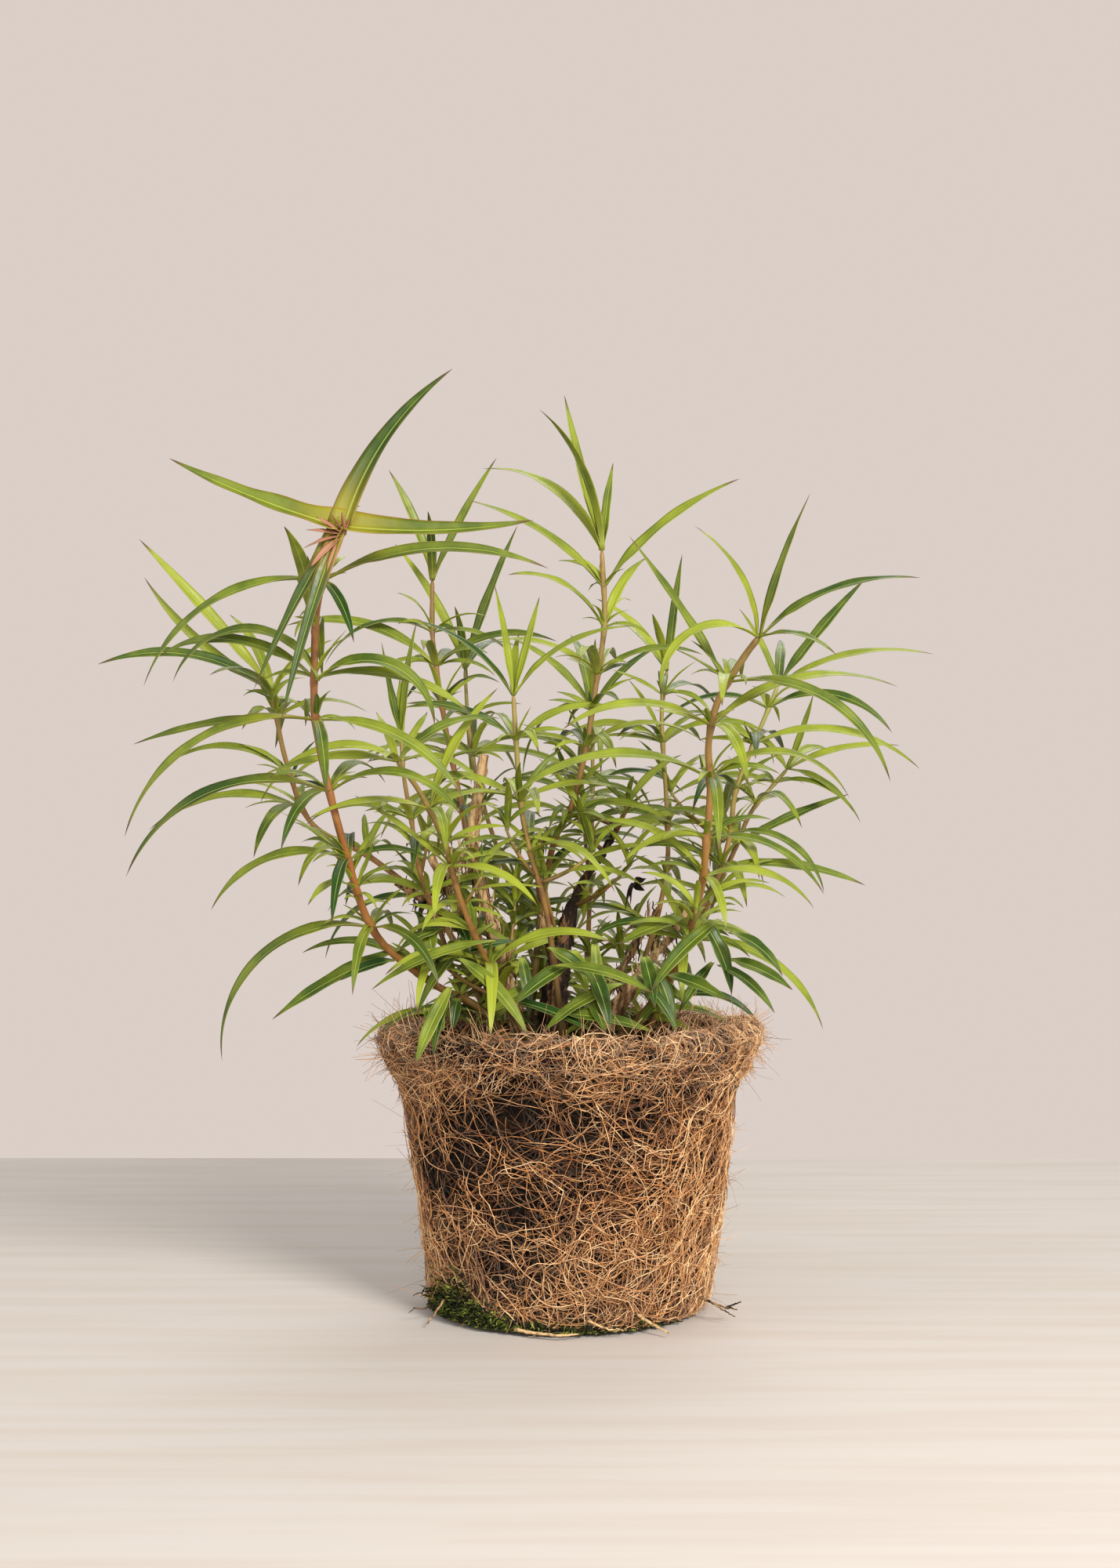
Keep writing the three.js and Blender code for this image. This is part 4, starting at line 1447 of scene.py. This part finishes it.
@dataclass
class PotForm:
    """The pot's outer profile, walked by distance from the foot's edge up and over the lip.

    Attributes:
        corners: Radius and height in millimetres, from the foot to the inside of the lip.
    """

    corners: tuple = ((47, 0), (50.75, 1.5), (52.5, 7), (62, 81), (65.5, 94.2), (69, 102.7), (66.4, 105),
                      (62.5, 103.7), (59.5, 97))

    def __post_init__(self) -> None:
        """Measures the distance to each corner."""
        rows = np.array(self.corners, float)
        self.rows = rows
        self.walk = np.concatenate([[0], np.cumsum(np.linalg.norm(np.diff(rows, axis=0), axis=1))])
        self.whole = float(self.walk[-1])

    @staticmethod
    def lump(around: np.ndarray, height: np.ndarray) -> np.ndarray:
        """How far the wall stands out of round at each place, in millimetres."""
        low = 0.5 * np.sin(3 * around + height * 0.05) + 0.35 * np.sin(8 * around - height * 0.09 + 1)
        high = 0.9 * np.sin(4 * around + 1) + 0.7 * np.sin(9 * around + 2) + 0.4 * np.sin(17 * around)
        share = np.clip((height - 80) / 20, 0, 1)
        return low * np.clip(height / 10, 0, 1) * (1 - share) + high * share

    def at(self, around: np.ndarray, up: np.ndarray, out: np.ndarray) -> tuple[np.ndarray, np.ndarray]:
        """Points over the wall.

        Args:
            around: Angle from +X in radians.
            up: Distance along the profile in millimetres.
            out: Height above the wall in millimetres.

        Returns:
            The points and the wall's outward directions, (..., 3).
        """
        radius = np.interp(up, self.walk, self.rows[:, 0])
        height = np.interp(up, self.walk, self.rows[:, 1])
        radius = radius + self.lump(around, height)
        height = height + self.lump(around * 1.0 + 2.1, height) * np.clip((height - 84) / 20, 0, 1) * 0.8
        step = 3.0
        run, climb = (
            np.interp(up + step, self.walk, column) - np.interp(up - step, self.walk, column)
            for column in (self.rows[:, 0], self.rows[:, 1]))
        size = np.maximum(np.hypot(run, climb), 1e-6)
        away, lift = climb / size, -run / size
        normal = np.stack([away * np.cos(around), away * np.sin(around), lift], -1)
        base = np.stack([radius * np.cos(around), radius * np.sin(around), height], -1)
        return base + normal * out[..., None], normal


@dataclass
class PotCore:
    """The solid pressed wall under the loose fibres.

    Attributes:
        inset: How far it stays under the fibres' ground, in millimetres.
        inner: The inside's radius and height, from the lip down to the floor's middle.
        steps: Faces round it.
    """

    form: PotForm
    inset: float = 3.4
    inner: tuple = ((59, 100.5), (55.2, 81), (45.5, 8), (0, 8))
    steps: int = 96

    def build(self, finish: bpy.types.Material) -> bpy.types.Object:
        """Turns the profile, closes it and roughens it."""
        outer = [(r - self.inset, max(0.4, z - self.inset * 0.5)) for r, z in self.form.corners[:7]]
        profile = [(0, 0.4), *outer, *self.inner]
        clear_selection()
        bpy.ops.mesh.primitive_plane_add(size=0.01)
        wall = bpy.context.object
        edit_all(wall)
        bpy.ops.mesh.delete(type="VERT")
        close_edit()
        edges = [(i, i + 1) for i in range(len(profile) - 1)]
        wall.data.from_pydata([(r * MM, 0, z * MM) for r, z in profile], edges, [])
        edit_all(wall)
        bpy.ops.mesh.subdivide(number_cuts=9)
        bpy.ops.mesh.spin(steps=self.steps, angle=2 * math.pi, center=(0, 0, 0), axis=(0, 0, 1))
        close_edit()
        face_out(wall)
        points = points_of(wall)
        far = np.hypot(points[:, 0], points[:, 1]) / MM
        turn = np.arctan2(points[:, 1], points[:, 0])
        lump = self.form.lump(turn, points[:, 2] / MM)
        lump = lump + 0.3 * np.sin(turn * 21 + points[:, 2] * 190)
        lump = lump + 0.3 * np.sin(turn * 13 - points[:, 2] * 310)
        grow = 1 + np.where((points[:, 2] > 0.002) & (far > 1), lump / np.maximum(far, 20), 0)
        points[:, :2] *= grow[:, None]
        top = np.clip((points[:, 2] / MM - 84) / 20, 0, 1) * (far > 56)
        points[:, 2] += self.form.lump(turn + 2.1, points[:, 2] / MM) * top * 0.8 * MM
        set_points(wall, points)
        pick(wall)
        bpy.ops.object.shade_smooth()
        wall.name = wall.data.name = "pot_wall"
        piece = dress(wall, Slot.COIR, finish)
        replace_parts(piece, "coir_pot")
        return piece


@dataclass(frozen=True)
class FibreKind:
    """One kind of fibre on the pot.

    Attributes:
        name: Its piece's name.
        count: How many there are.
        length: Shortest and longest, in millimetres.
        curl: The most that one turns along its length, in radians.
        lift: Lowest and highest middle above the wall, in millimetres.
        girth: Thinnest and thickest radius, in millimetres.
        tone: Darkest and lightest.
        grey: The most weathered share.
        band: The part of the profile that it starts in, as shares.
        loose: The share of fibres whose end stands off the wall.
    """

    name: str
    count: int
    length: tuple[float, float]
    curl: float
    lift: tuple[float, float]
    girth: tuple[float, float]
    tone: tuple[float, float]
    grey: float = 0.25
    band: tuple[float, float] = (0.0, 1.0)
    loose: float = 0.15


@dataclass
class FibreMat:
    """The loose matted fibres all over the pot.

    Attributes:
        form: The wall that they lie on.
        kinds: The kinds of fibre, from the wall outwards, each lighter than the one under it: the deeper
            layers darker as painted shade and the outer ones lighter partly as painted highlight.
        thin_spots: Angle in degrees, height and the two spreads of each place where the wall shows; the
            fibres left there are darkened as painted shade.
    """

    form: PotForm
    # Painted light and shade: tones rise from the wall outwards, the deep layers dark as painted shade and
    # the bright top layer partly a painted highlight, over the fibres' own varied tone.
    kinds: tuple[FibreKind, ...] = (
        FibreKind("ground_fibres", 2300, (22, 50), 1.6, (-2.6, -1.6), (0.18, 0.32), (0.0, 0.12), 0.0),
        FibreKind("matted_fibres", 2700, (20, 54), 2.0, (-1.8, -0.5), (0.16, 0.27), (0.0, 0.34), 0.1),
        FibreKind("woven_fibres", 2700, (16, 58), 2.6, (-1.0, 0.6), (0.14, 0.25), (0.16, 0.8), 0.2),
        FibreKind("outer_fibres", 1900, (24, 66), 2.8, (-0.2, 1.8), (0.12, 0.24), (0.5, 1.0), 0.3,
                  loose=0.2),
        FibreKind("bright_fibres", 1300, (12, 40), 2.4, (0.6, 2.6), (0.12, 0.22), (0.8, 1.1), 0.4,
                  loose=0.25),
        FibreKind("lip_fibres", 2100, (8, 32), 4.0, (-1.4, 2.6), (0.13, 0.23), (0.1, 1.05), 0.6,
                  (0.74, 0.97), 0.3),
    )
    thin_spots: tuple = ((-112, 77, 22, 5), (-108, 47, 11, 6), (-121, 25, 11, 4), (-62, 76, 8, 3.5),
                         (-128, 60, 8, 5), (-128, 102, 16, 3.4), (-110, 92, 10, 3), (-94, 100, 5, 2.6),
                         (-70, 103, 6, 2.2), (-36, 100, 6, 3), (-48, 88, 7, 3), (-30, 60, 8, 4),
                         (20, 74, 16, 4), (70, 50, 12, 6), (110, 76, 22, 5), (160, 40, 12, 7),
                         (-170, 70, 14, 5), (-150, 55, 10, 7))

    def bare(self, around: np.ndarray, height: np.ndarray) -> np.ndarray:
        """How bare the wall is at each place, from 0 to 1."""
        share = np.zeros_like(around)
        for angle, level, wide, tall in self.thin_spots:
            turn = np.degrees(np.angle(np.exp(1j * (around - math.radians(angle)))))
            share = np.maximum(share, np.exp(-((turn / wide) ** 2) - ((height - level) / tall) ** 2))
        return share

    def lay(self, kind: FibreKind, rod: Shape, chance: np.random.Generator) -> Copies:
        """Lays every fibre of one kind on the wall."""
        rings = 8
        count = kind.count
        run = np.linspace(0, 1, rings)
        length = chance.uniform(*kind.length, count)[:, None]
        turn = chance.uniform(0, 2 * math.pi, (count, 1))
        turn = turn + chance.uniform(-kind.curl, kind.curl, (count, 1)) * run
        turn = turn + chance.uniform(0, 1.1, (count, 1)) * np.sin(run * chance.uniform(4, 14, (count, 1)))
        step = length / (rings - 1)
        start_up = chance.uniform(*kind.band, (count, 1)) * self.form.whole
        across = np.cumsum(np.cos(turn) * step, 1)
        up = np.abs(start_up + np.cumsum(np.sin(turn) * step, 1) * 0.9) + 0.4
        up = np.where(up > self.form.whole, 2 * self.form.whole - up, up)
        around = chance.uniform(-math.pi, math.pi, (count, 1)) + across / 60
        arch = np.sin(np.pi * run) ** 0.8
        low, high = kind.lift
        lift = low + (high - low) * chance.uniform(0, 1, (count, 1)) * (0.25 + 0.75 * arch)
        free = (chance.uniform(0, 1, (count, 1)) < kind.loose) * chance.uniform(0.5, 4, (count, 1))
        lift = lift + free * np.maximum(0, run - 0.6) ** 2 * 6
        height = np.interp(up, self.form.walk, self.form.rows[:, 1])
        lift = lift + 2.6 * np.clip((height - 86) / 4, 0, 1) * chance.uniform(0.3, 1, (count, 1))
        path, outward = self.form.at(around, up, lift)
        path[..., 2] = np.maximum(path[..., 2], 0.5)
        bare = self.bare(around, height)
        keep = chance.uniform(0, 1, count) > bare.mean(1) * 2.2
        # Painted light: fibres are a little lighter towards the front right, the lit side, and darker round
        # the back left as painted shade.
        shade = np.cos(around[:, 0] - math.radians(-35))
        # The fibres in the thin spots are darkened by bare as painted shade in the gaps.
        tone = chance.uniform(*kind.tone, count) + 0.06 * shade - 0.06 - 0.4 * bare.max(1)
        low = np.clip((40 - height.mean(1)) / 40, 0, 1)
        tone = tone - 0.1 * low
        grey = chance.uniform(0, kind.grey, count) + 0.3 * low * chance.uniform(0, 1, count)
        top = np.clip((height.mean(1) - 97) / 6, 0, 1)
        grey = grey + 0.5 * top * chance.uniform(0, 1, count)
        # At the lip's top: a paler patch at the front, and fibres darker towards the left as painted shade.
        pale = np.exp(-((np.degrees(around[:, 0]) + 82) / 26) ** 2)
        tone = tone + top * (0.3 * pale - 0.22 * np.clip(-np.cos(around[:, 0]), 0, 1))
        girth = chance.uniform(*kind.girth, (count, 1)) * (1 - 0.5 * np.abs(2 * run - 1) ** 3)
        points = wrap_round(rod, path, outward, girth) * MM
        mat = Copies(rod)
        for k in np.flatnonzero(keep):
            mat.add(points[k], tone=float(np.clip(tone[k], 0, 1)), grey=float(np.clip(grey[k], 0, 1)))
        return mat

    def hairs(self, rod: Shape, chance: np.random.Generator) -> tuple[Copies, Copies]:
        """The short fuzz of the lip and the long hairs that stray from the wall."""
        fuzz, stray = Copies(rod), Copies(rod)
        kinds = ((fuzz, 2900, (3, 13), (0.76, 0.99), (0.1, 0.2), 0.8, 1.2),
                 (stray, 620, (5, 16), (0.02, 0.9), (0.07, 0.13), 0.4, 0.5))
        for mat, count, length, band, girth, most_grey, off in kinds:
            run = np.linspace(0, 1, 8)[None, :, None]
            around = chance.uniform(-math.pi, math.pi, count)
            up = chance.uniform(*band, count) * self.form.whole
            base, outward = self.form.at(around, up, np.full(count, -0.6))
            flow = unit(chance.normal(0, 1, (count, 3)) * 0.9 + outward * off)
            curl = unit(chance.normal(0, 1, (count, 3)))
            size = chance.uniform(*length, (count, 1))
            path = base[:, None] + run * (flow * size)[:, None] + run**2 * (curl * size * 0.5)[:, None]
            path[..., 2] = np.maximum(path[..., 2], 0.5)
            thick = chance.uniform(*girth, (count, 1)) * np.linspace(1, 0.5, 8)
            points = wrap_round(rod, path, outward[:, None] + 0 * path, thick) * MM
            for k in range(count):
                mat.add(points[k], tone=chance.uniform(0.4, 1.0), grey=chance.uniform(0, most_grey))
        return fuzz, stray

    def build(self, finish: bpy.types.Material) -> None:
        """Makes one piece for each kind of fibre."""
        chance = np.random.default_rng(53)
        rod = rod_shape(3, 8)
        for kind in self.kinds:
            dress(self.lay(kind, rod, chance).gather(kind.name), Slot.COIR, finish)
        fuzz, stray = self.hairs(rod, chance)
        dress(fuzz.gather("lip_fuzz"), Slot.COIR, finish)
        dress(stray.gather("stray_hairs"), Slot.COIR, finish)


# ---- Compost and what lies about ----


def scattered(shape: Shape, places: np.ndarray, sizes: np.ndarray,
              chance: np.random.Generator) -> list[np.ndarray]:
    """Copies of a lump, each turned, stretched and dented in its own way.

    Args:
        shape: The lump, about 1 across.
        places: Where each goes, in millimetres.
        sizes: The three sizes of each, in millimetres.
        chance: The random source.

    Returns:
        The points of each copy, in metres.
    """
    made = []
    for place, size in zip(places, sizes):
        turn, _ = np.linalg.qr(chance.standard_normal((3, 3)))
        if np.linalg.det(turn) < 0:
            turn[:, 0] *= -1
        dent = 1 + 0.16 * chance.standard_normal(len(shape.points))[:, None]
        made.append(((shape.points * dent * size) @ turn.T + place) * MM)
    return made


@dataclass
class Compost:
    """The compost's uneven surface, with crumbs, bark chips and straw.

    Attributes:
        radius: Its radius in millimetres at the top.
        dome: How much lower its edge is than its middle.
        depth: How deep the piece goes.
        crumbs: How many loose crumbs lie on it.
        chips: How many chips and bits of straw.
    """

    radius: float = 57.6
    dome: float = 4.0
    depth: float = 80.0
    crumbs: int = 1500
    chips: int = 340

    def height(self, x: np.ndarray, y: np.ndarray) -> np.ndarray:
        """The surface's height at each place, in millimetres."""
        far = np.hypot(x, y) / self.radius
        hills = np.sin(x * 0.31 + 2) * np.sin(y * 0.27) + 0.6 * np.sin(x * 0.73 - y * 0.41)
        hills = hills + 0.4 * np.sin(y * 1.3 + x)
        return COMPOST_TOP - 1.2 - self.dome * far**2 + 0.9 * hills

    def build(self, soil: bpy.types.Material, chip: bpy.types.Material) -> None:
        """Makes the block, the crumbs and the chips."""
        chance = np.random.default_rng(61)
        clear_selection()
        bpy.ops.mesh.primitive_grid_add(x_subdivisions=90, y_subdivisions=90, size=2)
        block = bpy.context.object
        points = points_of(block)
        x, y = points[:, 0].copy(), points[:, 1].copy()
        points[:, 0] = x * np.sqrt(1 - y**2 / 2) * self.radius
        points[:, 1] = y * np.sqrt(1 - x**2 / 2) * self.radius
        points[:, 2] = self.height(points[:, 0], points[:, 1]) + chance.normal(0, 0.35, len(points))
        set_points(block, points * MM)
        edit_all(block)
        bpy.ops.mesh.extrude_region_move(TRANSFORM_OT_translate={"value": (0, 0, -self.depth * MM)})
        bpy.ops.transform.resize(value=(0.78, 0.78, 0.0))
        close_edit()
        face_out(block)
        pick(block)
        bpy.ops.object.shade_smooth()
        block.name = block.data.name = "compost_block"
        note = block.data.attributes.new("tone", "FLOAT", "POINT")
        note.data.foreach_set("value", np.full(len(block.data.vertices), 0.3, dtype=np.float32))
        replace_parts(dress(block, Slot.COMPOST, soil), "compost")
        clear_selection()
        bpy.ops.mesh.primitive_ico_sphere_add(subdivisions=1, radius=0.5)
        lump = Shape.taken_from(bpy.context.object)
        far = self.radius * np.sqrt(chance.uniform(0, 1, self.crumbs)) * 0.97
        turn = chance.uniform(0, 2 * math.pi, self.crumbs)
        x, y = far * np.cos(turn), far * np.sin(turn)
        sizes = chance.uniform(1.0, 4.2, (self.crumbs, 1)) * chance.uniform(0.6, 1.2, (self.crumbs, 3))
        places = np.stack([x, y, self.height(x, y) + sizes[:, 2] * 0.25], 1)
        crumbs = Copies(lump)
        for points in scattered(lump, places, sizes, chance):
            crumbs.add(points, tone=float(chance.uniform(0, 0.8) ** 1.6))
        dress(crumbs.gather("compost_crumbs"), Slot.COMPOST, soil)
        clear_selection()
        bpy.ops.mesh.primitive_cube_add(size=1)
        bit = bpy.context.object
        edit_all(bit)
        bpy.ops.mesh.bevel(offset=0.09, segments=1, affect="EDGES")
        close_edit()
        slab = Shape.taken_from(bit)
        far = self.radius * np.sqrt(chance.uniform(0.05, 1, self.chips)) * 0.98
        turn = chance.uniform(0, 2 * math.pi, self.chips)
        x, y = far * np.cos(turn), far * np.sin(turn)
        sizes = np.stack([chance.uniform(1.2, 4, self.chips), chance.uniform(5, 15, self.chips),
                          chance.uniform(0.5, 1.4, self.chips)], 1)
        chips = Copies(slab)
        for k in range(self.chips):
            spin, tilt = chance.uniform(0, 2 * math.pi), chance.normal(0, 0.3)
            flat = slab.points * sizes[k] * (1 + 0.07 * chance.standard_normal((len(slab.points), 1)))
            flat[:, 2] += flat[:, 1] * math.tan(tilt)
            turned = np.stack([flat[:, 0] * math.cos(spin) - flat[:, 1] * math.sin(spin),
                               flat[:, 0] * math.sin(spin) + flat[:, 1] * math.cos(spin), flat[:, 2]], 1)
            lift = self.height(x[k], y[k]) + 1.4
            chips.add((turned + (x[k], y[k], lift)) * MM, tone=chance.uniform(0, 1))
        dress(chips.gather("bark_chips"), Slot.COMPOST, chip)


@dataclass
class FootDebris:
    """Moss, roots and wet scraps round the pot's foot, most of it at the front left.

    Attributes:
        sprigs: How many moss leaves there are.
        roots: The points of each root in millimetres, with its radius and tone.
    """

    form: PotForm
    sprigs: int = 5600
    roots: tuple = (
        (((44, -22, 8), (50, -27, 7), (56, -30, 5), (61, -33, 4.6)), 0.55, 0.35),
        (((51, -28, 7), (55, -33, 5.2), (60, -37, 3)), 0.4, 0.3),
        (((57, -31, 5), (61, -29, 6), (63, -28, 6.4)), 0.4, 0.1),
        (((-20, -50, 1.4), (-12, -55, 1.2), (-4, -58, 1.2), (3, -56, 1.0)), 0.7, 0.9),
        (((24, -46, 6), (30, -50, 3), (35, -54, 1.2)), 0.7, 0.85),
        (((6, -52, 5), (14, -55, 2.6), (20, -54, 2.2)), 0.5, 0.8),
        (((-48, -20, 9), (-53, -23, 8), (-56, -25, 9), (-58, -26, 8)), 0.3, 0.15),
        (((-50, -26, 5), (-54, -29, 4), (-57, -30, 4.6), (-59, -32, 3.4)), 0.3, 0.15),
        (((-46, -32, 8), (-50, -36, 3), (-52, -40, 1.2)), 0.45, 0.5),
    )

    def build(self, moss: bpy.types.Material, bark: bpy.types.Material) -> None:
        """Makes the moss, the clods under it and the roots."""
        chance = np.random.default_rng(71)
        sprig = rod_shape(3, 4)
        tufts = Copies(sprig)
        angle = np.radians(chance.normal(-122, 30, self.sprigs))
        up = np.abs(chance.normal(0, 6.0, self.sprigs)) + 0.2
        up = up * (0.35 + 0.9 * np.exp(-((np.degrees(angle) + 145) / 24) ** 2))
        base, outward = self.form.at(angle, up, chance.uniform(0.6, 2.6, self.sprigs))
        flow = unit(outward * 0.8 + chance.normal(0, 0.7, (self.sprigs, 3)) + (0, 0, 0.3))
        size = chance.uniform(1.0, 3.4, (self.sprigs, 1))
        run = np.linspace(0, 1, 4)[None, :, None]
        path = base[:, None] + run * (flow * size)[:, None]
        path[..., 2] = np.maximum(path[..., 2], 0.6)
        thick = chance.uniform(0.22, 0.5, (self.sprigs, 1)) * np.array((0.7, 1, 0.7, 0.2))
        points = wrap_round(sprig, path, outward[:, None] + 0 * path, thick) * MM
        for k in range(self.sprigs):
            tufts.add(points[k], tone=float(np.clip(chance.normal(0.4, 0.3), 0, 1)))
        dress(tufts.gather("foot_moss"), Slot.COIR, moss)
        clear_selection()
        bpy.ops.mesh.primitive_ico_sphere_add(subdivisions=1, radius=0.5)
        lump = Shape.taken_from(bpy.context.object)
        count = 420
        angle = np.radians(chance.normal(-125, 32, count))
        base, outward = self.form.at(angle, chance.uniform(0, 5, count), chance.uniform(0, 2.4, count))
        sizes = chance.uniform(0.7, 3.4, (count, 1)) * chance.uniform(0.6, 1.2, (count, 3))
        base[:, 2] = np.maximum(base[:, 2] * 0.6, sizes.max(1) * 0.85)
        clods = Copies(lump)
        for points in scattered(lump, base, sizes, chance):
            clods.add(points, tone=float(np.clip(chance.normal(0.15, 0.15), 0, 1)))
        dress(clods.gather("foot_clods"), Slot.COIR, moss)
        root = rod_shape(7, 24)
        roots = Copies(root)
        for corners, girth, tone in self.roots:
            path = smooth_path(np.array(corners, float), 24)
            path = path + chance.normal(0, 0.12, path.shape)
            radius = girth * np.linspace(1, 0.45, 24) * (1 + 0.12 * np.sin(np.arange(24) * 1.7))
            path[:, 2] = np.maximum(path[:, 2], girth * 1.6)
            roots.add(wrap_round(root, path, np.array((0.1, 0.2, 1.0)), radius) * MM, tone=tone)
        dress(roots.gather("foot_roots"), Slot.OLD_WOOD, bark)


# ---- The studio ----


@dataclass
class Studio:
    """A plain pale table, an even pale surround, soft light and the camera."""

    table: tuple[int, int, int] = (197, 189, 182)
    surround: tuple[int, int, int] = (219, 207, 200)
    eye: tuple[float, float, float] = (-0.0037, -0.83, 0.185)
    shift: float = 0.021
    lamps: tuple = (
        ("key", (0.66, -1.25, 0.98), 0.45, 32, (1.0, 0.97, 0.93)),
        ("fill", (-0.15, -1.5, 0.4), 0.7, 7, (1.0, 0.98, 0.95)),
        ("side", (-1.2, -0.5, 0.9), 0.8, 4, (0.95, 0.97, 1.0)),
        ("back", (0.3, 1.1, 1.3), 0.9, 8, (1.0, 0.98, 0.95)),
    )

    def camera(self) -> None:
        """A level 50 mm camera in front of the plant."""
        lens = bpy.data.cameras.new("view")
        lens.lens, lens.sensor_width, lens.shift_y = 50, 36, self.shift
        lens.clip_start, lens.clip_end = 0.01, 20
        camera = bpy.data.objects.new("view", lens)
        camera.location = self.eye
        camera.rotation_euler = (math.pi / 2, 0, 0)
        bpy.context.scene.collection.objects.link(camera)
        bpy.context.scene.camera = camera

    def lamp(self, name: str, place: tuple, size: float, power: float, colour: tuple) -> None:
        """An area lamp aimed at the plant."""
        light = bpy.data.lights.new(name, "AREA")
        light.energy, light.size, light.color = power, size, colour
        lamp = bpy.data.objects.new(name, light)
        lamp.location = place
        aim = np.array((0, 0, 0.17)) - place
        flat = math.hypot(aim[0], aim[1])
        pitch, turn = math.atan2(aim[2], flat), math.atan2(aim[1], aim[0])
        lamp.rotation_euler = (math.pi / 2 + pitch, 0, turn - math.pi / 2)
        bpy.context.scene.collection.objects.link(lamp)

    def build(self) -> None:
        """Sets up the table, the surround, the lamps and the camera."""
        clear_selection()
        bpy.ops.mesh.primitive_cube_add(size=1, location=(0, -0.42, -0.021))
        table = bpy.context.object
        bpy.ops.transform.resize(value=(2.6, 1.56, 0.04))
        bpy.ops.object.transform_apply(location=True, scale=True)
        edit_all(table)
        bpy.ops.mesh.bevel(offset=0.003, segments=3, affect="EDGES")
        close_edit()
        table.name = "table"
        n = Nodes("pale_table")
        grain = n.noise(6, 3, stretch=(1, 14, 1))
        colour = n.mix(n.span(grain, 0.35, 0.7, 0, 0.5), linear(*self.table), linear(188, 175, 163))
        table.data.materials.append(n.finish(colour, 0.75, None, Specular_IOR_Level=0.25))
        world = bpy.data.worlds.new("surround")
        world.use_nodes = True
        tree = world.node_tree
        seen = tree.nodes["Background"]
        seen.inputs[0].default_value = linear(*self.surround)
        glow = tree.nodes.new("ShaderNodeBackground")
        glow.inputs[0].default_value = (1.0, 0.985, 0.97, 1)
        glow.inputs[1].default_value = 0.5
        ray = tree.nodes.new("ShaderNodeLightPath")
        both = tree.nodes.new("ShaderNodeMixShader")
        tree.links.new(ray.outputs["Is Camera Ray"], both.inputs[0])
        tree.links.new(glow.outputs[0], both.inputs[1])
        tree.links.new(seen.outputs[0], both.inputs[2])
        tree.links.new(both.outputs[0], tree.nodes["World Output"].inputs[0])
        bpy.context.scene.world = world
        bpy.context.scene.view_settings.view_transform = "Standard"
        for lamp in self.lamps:
            self.lamp(*lamp)
        self.camera()


def log_shown_nodes() -> None:
    """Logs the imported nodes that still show."""
    shown = [name for name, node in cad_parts.items() if not node.hide_render]
    log.info("packed nodes still shown: %s", shown)


def main() -> None:
    """Builds the plant and its pot in order."""
    logging.basicConfig(level=logging.INFO, format="%(message)s")
    Studio().build()
    top, under = LEAF_TOP.make(), LEAF_UNDER.make()
    stem, bark, fibre = StemFinish().make(), BarkFinish().make(), CoirFinish().make()
    blade, small = leaf_shape(34, 6), leaf_shape(14, 4)
    form = PotForm()
    PotCore(form).build(PotCoreFinish().make())
    FibreMat(form).build(fibre)
    Compost().build(SoilFinish().make(), ChipFinish().make())
    FootDebris(form).build(MossFinish().make(), bark)
    Stems().build(stem)
    OldWood().build(bark)
    Whorls(blade).build(top, under)
    MoreLeaves(blade, small).build(top, under)
    SideShoots(small).build(stem, top, under)
    PlacedLeaves(blade, "low_leaves", low_leaves()).build(top, under)
    scale, dead = BUD_SCALE.make(), DEAD_LEAF.make()
    PlacedLeaves(small, "bud_scales", bud_scales()).build(scale, scale)
    PlacedLeaves(small, "dead_leaves", dead_leaves()).build(dead, dead)
    log_shown_nodes()


if __name__ == "__main__":
    main()
